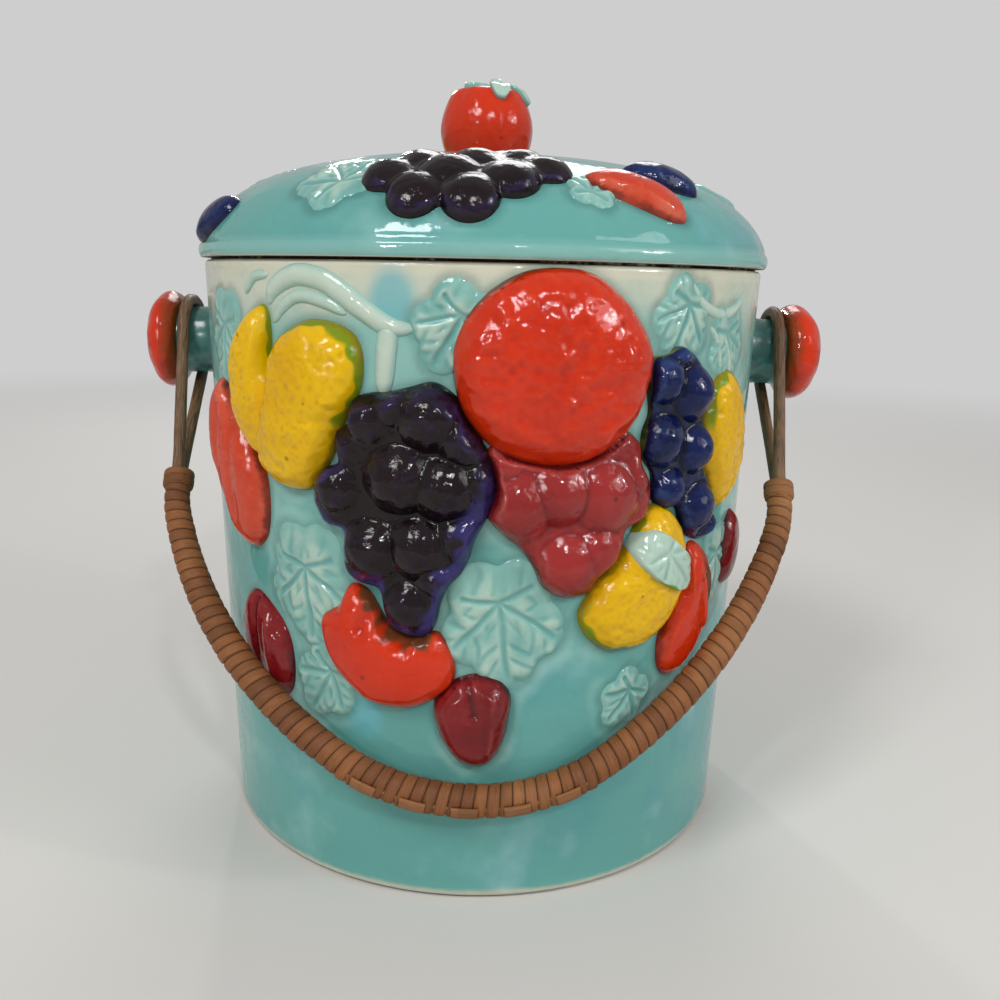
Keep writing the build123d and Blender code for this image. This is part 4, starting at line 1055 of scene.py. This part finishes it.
lid_leaves = [
    (20.0, 60.4, 6.2, -20.0), (-30.0, 58.4, 10.0, 40.0), (-86.0, 52.0, 10.0, 40.0), (74.0, 52.0, 10.0, -40.0),
    (140.0, 50.0, 10.0, 10.0), (-152.0, 51.0, 10.0, -20.0),
]
lid_leaf_sprigs = [
    leaf_sprig(lid_spot(turn, reach), size, turn + lean, 1.1, 2.2, lid_fruit_sprigs, 40, 170)
    for turn, reach, size, lean in lid_leaves
]
all_lid_sprigs = (*lid_fruit_sprigs, *lid_leaf_sprigs)


def lid_relief():
    """Fruit and leaves on the lid."""
    for count, (name, (sprig, look)) in enumerate(lid_fruits.items()):
        piece(f"{name}_relief", [sprig.mesh(lid_seat, 20 + count)], look, "lid", name)
    blades = [sprig.mesh(lid_seat, 30 + count) for count, sprig in enumerate(lid_leaf_sprigs)]
    piece("lid_leaf_relief", blades, mint, "lid", "lid_leaves")


def knob():
    """The knob's fruit, slightly lobed, with a five-pointed calyx and a stub of stem on top."""
    base, top = body_height + lid_crown - 1.2, body_height + lid_crown + knob_height
    outline = smooth_route(np.array([
        (knob_foot_radius, base), (knob_radius - 0.1, base + 5.6), (knob_radius, base + knob_belly),
        (knob_radius - 1.6, top - 3.0), (7.3, top - 0.7), (3.6, top - 0.5), (0.0, top - 1.0),
    ]), 48)
    radius, height = np.concatenate([[(0, base)], outline]).T[..., None]
    turn = full_turn(120)
    lobes = 0.985 + 0.035 * np.abs(np.cos(3 * turn + 0.5)) ** 0.6 * step(top - 18, top - 9, height)
    lobes = lobes + 0.012 * ripple(turn * 8 / pi, height / 4, 1, 3)
    fruit_skin = revolved(radius * np.minimum(lobes, 1.02), height, turn, {"inset": 9.0})
    piece("knob_fruit", [fruit_skin], orange_red, "lid", "knob")
    seat, _ = dome_seat(outline[::-1, 0], outline[::-1, 1])
    turn, middle = full_turn(200), (2.0, -1.2)
    reach = 3.2 + 5.6 * np.abs(np.cos(2.5 * turn + 0.4)) ** 1.4 * (1 + 0.24 * np.cos(turn + 0.9))
    star = [(middle[0] + f * cos(a), middle[1] + f * sin(a)) for f, a in zip(reach, turn)]

    def sepals(s, t, e, seed):
        return 1.1 + 0.2 * ripple(s, t, 2, seed) - 0.3 * bell(e - 0.5, 0.3)

    calyx = Sprig(middle, star, sepals, 0.7, blur=1.0, rings=30, spokes=200)
    stub = [(0, top - 2), (2.1, top - 1.6), (1.7, top - 0.2), (1.6, top + 1.4), (1.2, top + 1.95),
            (0.6, top + 1.7), (0, top + 1.6)]
    stem = turned(stub, 32, 0.15, 2, {"lift": [0, 0, 0.6, 1.4, 1.5, 0.2, 0]}, middle)
    piece("knob_crown", [calyx.mesh(seat, 4), stem], mint, "lid", "knob_calyx")


# --- bail -----------------------------------------------------------------------------------------
rest_reach = wall_radius(rest_height) + binding_radius + rest_gap
bail_drop = hypot(hinge_height - rest_height, rest_reach)
bail_angle = atan2(rest_reach, hinge_height - rest_height)
bail_up = np.array([0, sin(bail_angle), cos(bail_angle)])
bail_out = np.array([0, -cos(bail_angle), sin(bail_angle)])
loop_middle = wall_radius(hinge_height) + neck_length - loop_inset - cane_radius


def bail_point(x, y, out=0.0):
    """A point in the bail's plane: x to the right, y up from the hinge, out of the plane to the front."""
    x, y, out = np.broadcast_arrays(x, y, out)
    hinge = np.array([0, 0, hinge_height])
    return hinge + x[..., None] * np.array([1.0, 0, 0]) + y[..., None] * bail_up + out[..., None] * bail_out


def grip_half(low_radius, swing):
    """Joints of the grip's centre line from its lowest point up: three tangent arcs, as (point, direction).

    The middle of the long arc lies on the normal at the low arc's end, where it also touches the high arc.
    """
    first, last = radians(swing), pi / 2 - loop_lean
    top = grip_start + collar_length
    end_x = loop_middle - top * tan(loop_lean)
    low_end = (low_radius * sin(first), low_radius * (1 - cos(first)) - bail_drop)
    high = (end_x - shoulder_radius * sin(last), -top + shoulder_radius * cos(last))
    away_x, away_y = low_end[0] - high[0], low_end[1] - high[1]
    normal_part = away_y * cos(first) - away_x * sin(first)
    long_radius = (shoulder_radius**2 - away_x**2 - away_y**2) / (2 * (normal_part + shoulder_radius))
    middle = (low_end[0] - long_radius * sin(first), low_end[1] + long_radius * cos(first))
    second = atan2(high[0] - middle[0], middle[1] - high[1])
    bend = (high[0] + shoulder_radius * sin(second), high[1] - shoulder_radius * cos(second))
    return [((0, -bail_drop), 0.0), (low_end, first), (bend, second), ((end_x, -top), last)]


def arc_points(start, stop, angle, next_angle, count=40):
    """Points on the arc that leaves start in one direction and reaches stop in another."""
    turn = next_angle - angle
    radius = hypot(stop[0] - start[0], stop[1] - start[1]) / (2 * sin(turn / 2))
    at = angle + turn * np.linspace(0, 1, count)
    right, up = radius * (np.sin(at) - sin(angle)), radius * (np.cos(at) - cos(angle))
    return np.stack([start[0] + right, start[1] - up], -1)


def grip_line(spacing):
    """The grip's centre line from its left end to its right end, evenly spaced, in the bail's plane."""
    left = [((-x, y), -angle) for (x, y), angle in reversed(grip_half(*grip_low["left"]))]
    joints = left + grip_half(*grip_low["right"])[1:]
    ends = [(s * (loop_middle - grip_start * tan(loop_lean)), -grip_start) for s in (-1, 1)]
    runs = [np.array([ends[0]])]
    for (start, angle), (stop, following) in zip(joints, joints[1:]):
        runs.append(arc_points(start, stop, angle, following))
    runs.append(np.array([ends[1]]))
    return at_marks(np.concatenate(runs), lambda length: np.arange(0, length, spacing))


def tube(points, radius, turn):
    """Rings round a line in the bail's plane; turn 0 faces out of the curve (down) and pi / 2 the front."""
    down, side = right_of(points), radius * np.cos(turn)
    x, y = (points[:, k:k + 1] + down[:, k:k + 1] * side for k in (0, 1))
    return bail_point(x, y, radius * np.sin(turn))


def woven(way, whole):
    """1 where the rib shows, in five windows, and 0 where two turns cover it; then 1 where it runs at all."""
    phase = (way - whole / 2 - weave_shift) / weave_period
    window = step(0.28, 0.24, np.abs(phase - np.round(phase)))
    return window * (np.abs(np.round(phase)) <= 2), (np.abs(phase) < 2.6) * 1.0


def grip():
    """Binding of split cane wound in a helix, the rib woven through it, and the core under it."""
    points, way = grip_line(0.17)
    turn = full_turn(36)
    w, a = np.meshgrid(way, turn, indexing="ij")
    wound = w / binding_pitch - a / (2 * pi) + 0.05 * ripple(w, a * 0, 7, 2)
    count = np.floor(wound)
    across = wound - count
    strip = np.clip(1 - np.abs(2 * across - 1) ** 5, 0, 1) ** 0.6
    each = ripple(count * 3.1, count * 0 + 0.5, 1.0, 6)
    shown, ribbed = woven(w, way[-1])
    rib_side = bell(np.angle(np.exp(1j * (a - rib_tilt))), 0.42)
    slim = end_slimming * step(45, 0, np.minimum(w, way[-1] - w))
    radius = core_radius - 0.15 + 0.6 * strip + 0.10 * each * strip + 0.04 * ripple(a * 6, w, 1.3, 1) - slim
    radius = radius + 0.75 * rib_side * ribbed * (1 - shown) * strip - 0.25 * rib_side * shown
    layers = {
        "along": a * core_radius, "across": across, "turn": count,
        "gap": np.maximum(step(0.72, 0.25, strip), 0.8 * shown * step(0.25, 0.7, rib_side) * ribbed),
    }
    rings = tube(points, radius, turn)
    ends = [bail_point(*points[k]) for k in (0, -1)]
    piece("grip_winding", [skin(rings, ends, layers)], binding_cane, "bail", "grip_binding")

    inner, _ = grip_line(2.0)
    core_ends = [bail_point(*inner[k]) for k in (1, -2)]
    core = skin(tube(inner[1:-1], core_radius - 0.75, full_turn(20)), core_ends)
    piece("grip_rod", [core], cane, "bail", "grip_core")

    keep = np.abs(way - way[-1] / 2 - weave_shift) < 2.5 * weave_period
    rib_way, section = way[keep][:, None], full_turn(16)
    flat, thick = (np.sign(wave) * np.abs(wave) ** 0.5 for wave in (np.cos(section), np.sin(section)))
    flat, thick = flat * (rib_width / 2 / binding_radius), thick * rib_thickness / 2
    over, _ = woven(rib_way, way[-1])
    centre_radius = binding_radius - 0.25 + 0.35 * over - 0.15 * (1 - over)
    rings = tube(points[keep], centre_radius + thick, rib_tilt + flat)
    layers = {"along": rib_way, "across": flat * 2, "turn": np.round(rib_way / 20)}
    piece("grip_weave", [skin(rings, None, layers)], rib_cane, "bail", "grip_rib")


def collars():
    """Two turns of split cane, one crossed over the other, at each end of the grip."""
    points, way = grip_line(0.15)
    turn = full_turn(40)
    for side, near in (("left", way), ("right", way[-1] - way)):
        keep = near < collar_length
        w, a = np.meshgrid(near[keep], turn, indexing="ij")
        wound = w / collar_pitch + a / (2 * pi) * 0.5
        across = wound - np.floor(wound)
        strip = np.clip(1 - np.abs(2 * across - 1) ** 8, 0, 1) ** 0.5
        ends_round = np.sqrt(np.clip(1 - (np.abs(w - collar_length / 2) / (collar_length / 2)) ** 6, 0, 1))
        radius = binding_radius - end_slimming + (0.5 * strip + 0.1) * ends_round
        layers = {"along": a * collar_radius, "across": across, "turn": np.floor(wound) + 40,
                  "gap": step(0.5, 0.0, strip) * 0.8}
        rings = skin(tube(points[keep], radius, turn), None, layers)
        piece(f"collar_wound_{side}", [rings], binding_cane, "bail", f"collar_{side}")


def loop_line():
    """One cane loop in its own plane: up one strand, round the neck and down the other."""
    offset, radius = cane_radius + 0.05, neck_radius + loop_clearance + cane_radius
    touch = atan2(offset, loop_throat) + acos(radius / hypot(offset, loop_throat))
    tangent = np.array([radius * sin(touch), -radius * cos(touch)])
    throat = np.array([offset, -loop_throat])
    tail = np.array([offset, -(grip_start + strand_tail) / cos(loop_lean)])
    rise = (tangent - throat) / np.hypot(*(tangent - throat))
    bend = atan2(rise[0], rise[1])
    cut = throat_rounding * tan(bend / 2)
    begin = throat - np.array([0, cut])
    at = np.linspace(0, bend, 12)
    fillet = begin + throat_rounding * np.stack([1 - np.cos(at), np.sin(at)], -1)
    strand = np.concatenate([[tail], fillet, [tangent]])
    arc = np.linspace(touch, 2 * pi - touch, 60)
    over = radius * np.stack([np.sin(arc), -np.cos(arc)], -1)
    mirrored = strand[::-1] * np.array([-1, 1])
    points = np.concatenate([strand, over[1:-1], mirrored])
    return at_marks(points, lambda length: np.linspace(0, length, 170))


def cane_loops():
    """Round cane bent round each lug's neck, its strands side by side into the grip."""
    points, way = loop_line()
    normal = right_of(points)
    w, a = np.meshgrid(way, full_turn(24), indexing="ij")
    for side, sign in (("left", -1), ("right", 1)):
        knobbly = 0.025 * ripple(w, a, 9, 3 + sign) + 0.015 * ripple(w, a * 3, 2, 5 + sign)
        radius = cane_radius * (0.97 + knobbly)
        x, y = (points[:, k:k + 1] + normal[:, k:k + 1] * radius * np.cos(a) for k in (0, 1))
        depth = radius * np.sin(a)
        up = bail_up * cos(loop_lean) + np.array([sign * sin(loop_lean), 0, 0])
        across = np.cross(bail_out, up)
        start = bail_point(sign * loop_middle, 0.0)
        rings = start + x[..., None] * bail_out + y[..., None] * up + depth[..., None] * across
        bow = skin(rings, None, {"along": w, "around": a})
        piece(f"cane_bow_{side}", [bow], cane, "bail", f"cane_loop_{side}")


# --- stage ----------------------------------------------------------------------------------------
def stage():
    """A pale floor, a pale world, and soft lamps with four small bright ones for glints."""
    half, sky_grey = 3.0, 206
    mesh = bpy.data.meshes.new("floor")
    corners = [(-half, -half, 0), (half, -half, 0), (half, half, 0), (-half, half, 0)]
    mesh.from_pydata(corners, [], [(0, 1, 2, 3)])
    ground = Recipe("floor")
    grain = ground.noise(3, 2)
    away = ground.node("ShaderNodeVectorMath", {"operation": "LENGTH"}, {0: ground.object}, "Value")
    faded = away.between(0.3, 1.3) * ground.node("ShaderNodeLightPath", out="Is Camera Ray")
    floor_grey = ground.mix((206, 204, 200), (212, 210, 206), grain)
    ground.feed(ground.shader.inputs["Emission Color"], ground.mix((0, 0, 0), (sky_grey,) * 3, faded))
    ground.shader.inputs["Emission Strength"].default_value = 1.0
    matte, _ = ground.finish(ground.mix(floor_grey, (0, 0, 0), faded), 0.6, grain, 0.02, 0.001, 0.0)
    mesh.materials.append(matte)
    floor = bpy.data.objects.new("floor", mesh)
    bpy.context.scene.collection.objects.link(floor)

    world = bpy.data.worlds.new("room")
    world.use_nodes = True
    bpy.context.scene.world = world
    air = Nodes(world.node_tree)
    sky = world.node_tree.nodes["Background"].inputs
    seen, mirrored = (air.node("ShaderNodeLightPath", out=f"Is {ray} Ray") for ray in ("Camera", "Glossy"))
    air.feed(sky["Color"], tint(*(sky_grey,) * 3))
    air.feed(sky["Strength"], 0.52 + seen * 0.48 + mirrored * 0.2)
    lamps = {
        "key": ((-0.50, -0.70, 0.95), 0.30, 5.2),
        "fill": ((0.85, -0.45, 0.55), 0.45, 2.2),
        "back": ((0.1, 0.9, 0.9), 0.5, 3.4),
        "glint": ((0.20, -0.75, 0.62), 0.05, 1.5),
        "glint_left": ((-0.42, -0.72, 0.34), 0.035, 0.8),
        "glint_right": ((0.70, -0.30, 0.40), 0.035, 0.7),
        "glint_back": ((-0.20, 0.80, 0.50), 0.05, 1.2),
    }
    for name, (place, size, power) in lamps.items():
        data = bpy.data.lights.new(name, "AREA")
        data.size, data.energy = size, power
        lamp = bpy.data.objects.new(name, data)
        aim = Vector((0, 0, 0.09)) - Vector(place)
        lamp.matrix_world = Matrix.Translation(place) @ aim.to_track_quat("-Z", "Y").to_matrix().to_4x4()
        bpy.context.scene.collection.objects.link(lamp)


def camera():
    """A near camera a little above the rim, looking down and slightly right, tilted by a degree."""
    spot_mm, down, right, roll = (0.4, -255.5, 133.5), radians(12.658), radians(1.087), radians(1.286)
    ahead = Vector((sin(right) * cos(down), cos(right) * cos(down), -sin(down)))
    level = Vector((cos(right), -sin(right), 0))
    over = level.cross(ahead)
    x_axis, y_axis = level * cos(roll) + over * sin(roll), over * cos(roll) - level * sin(roll)
    turned_to = Matrix((x_axis, y_axis, -ahead)).transposed().to_4x4()
    data = bpy.data.cameras.new("camera")
    data.sensor_width, data.lens = 36.0, 35.28
    data.clip_start = 0.01
    eye = bpy.data.objects.new("camera", data)
    eye.matrix_world = Matrix.Translation(Vector(spot_mm) * MM) @ turned_to
    bpy.context.scene.collection.objects.link(eye)
    bpy.context.scene.camera = eye


stage()
camera()
jar_wall()
jar_sprigs()
lugs()
lid_shell()
lid_relief()
knob()
grip()
collars()
cane_loops()
bpy.context.scene.view_settings.view_transform = "Standard"

bpy.context.view_layer.update()
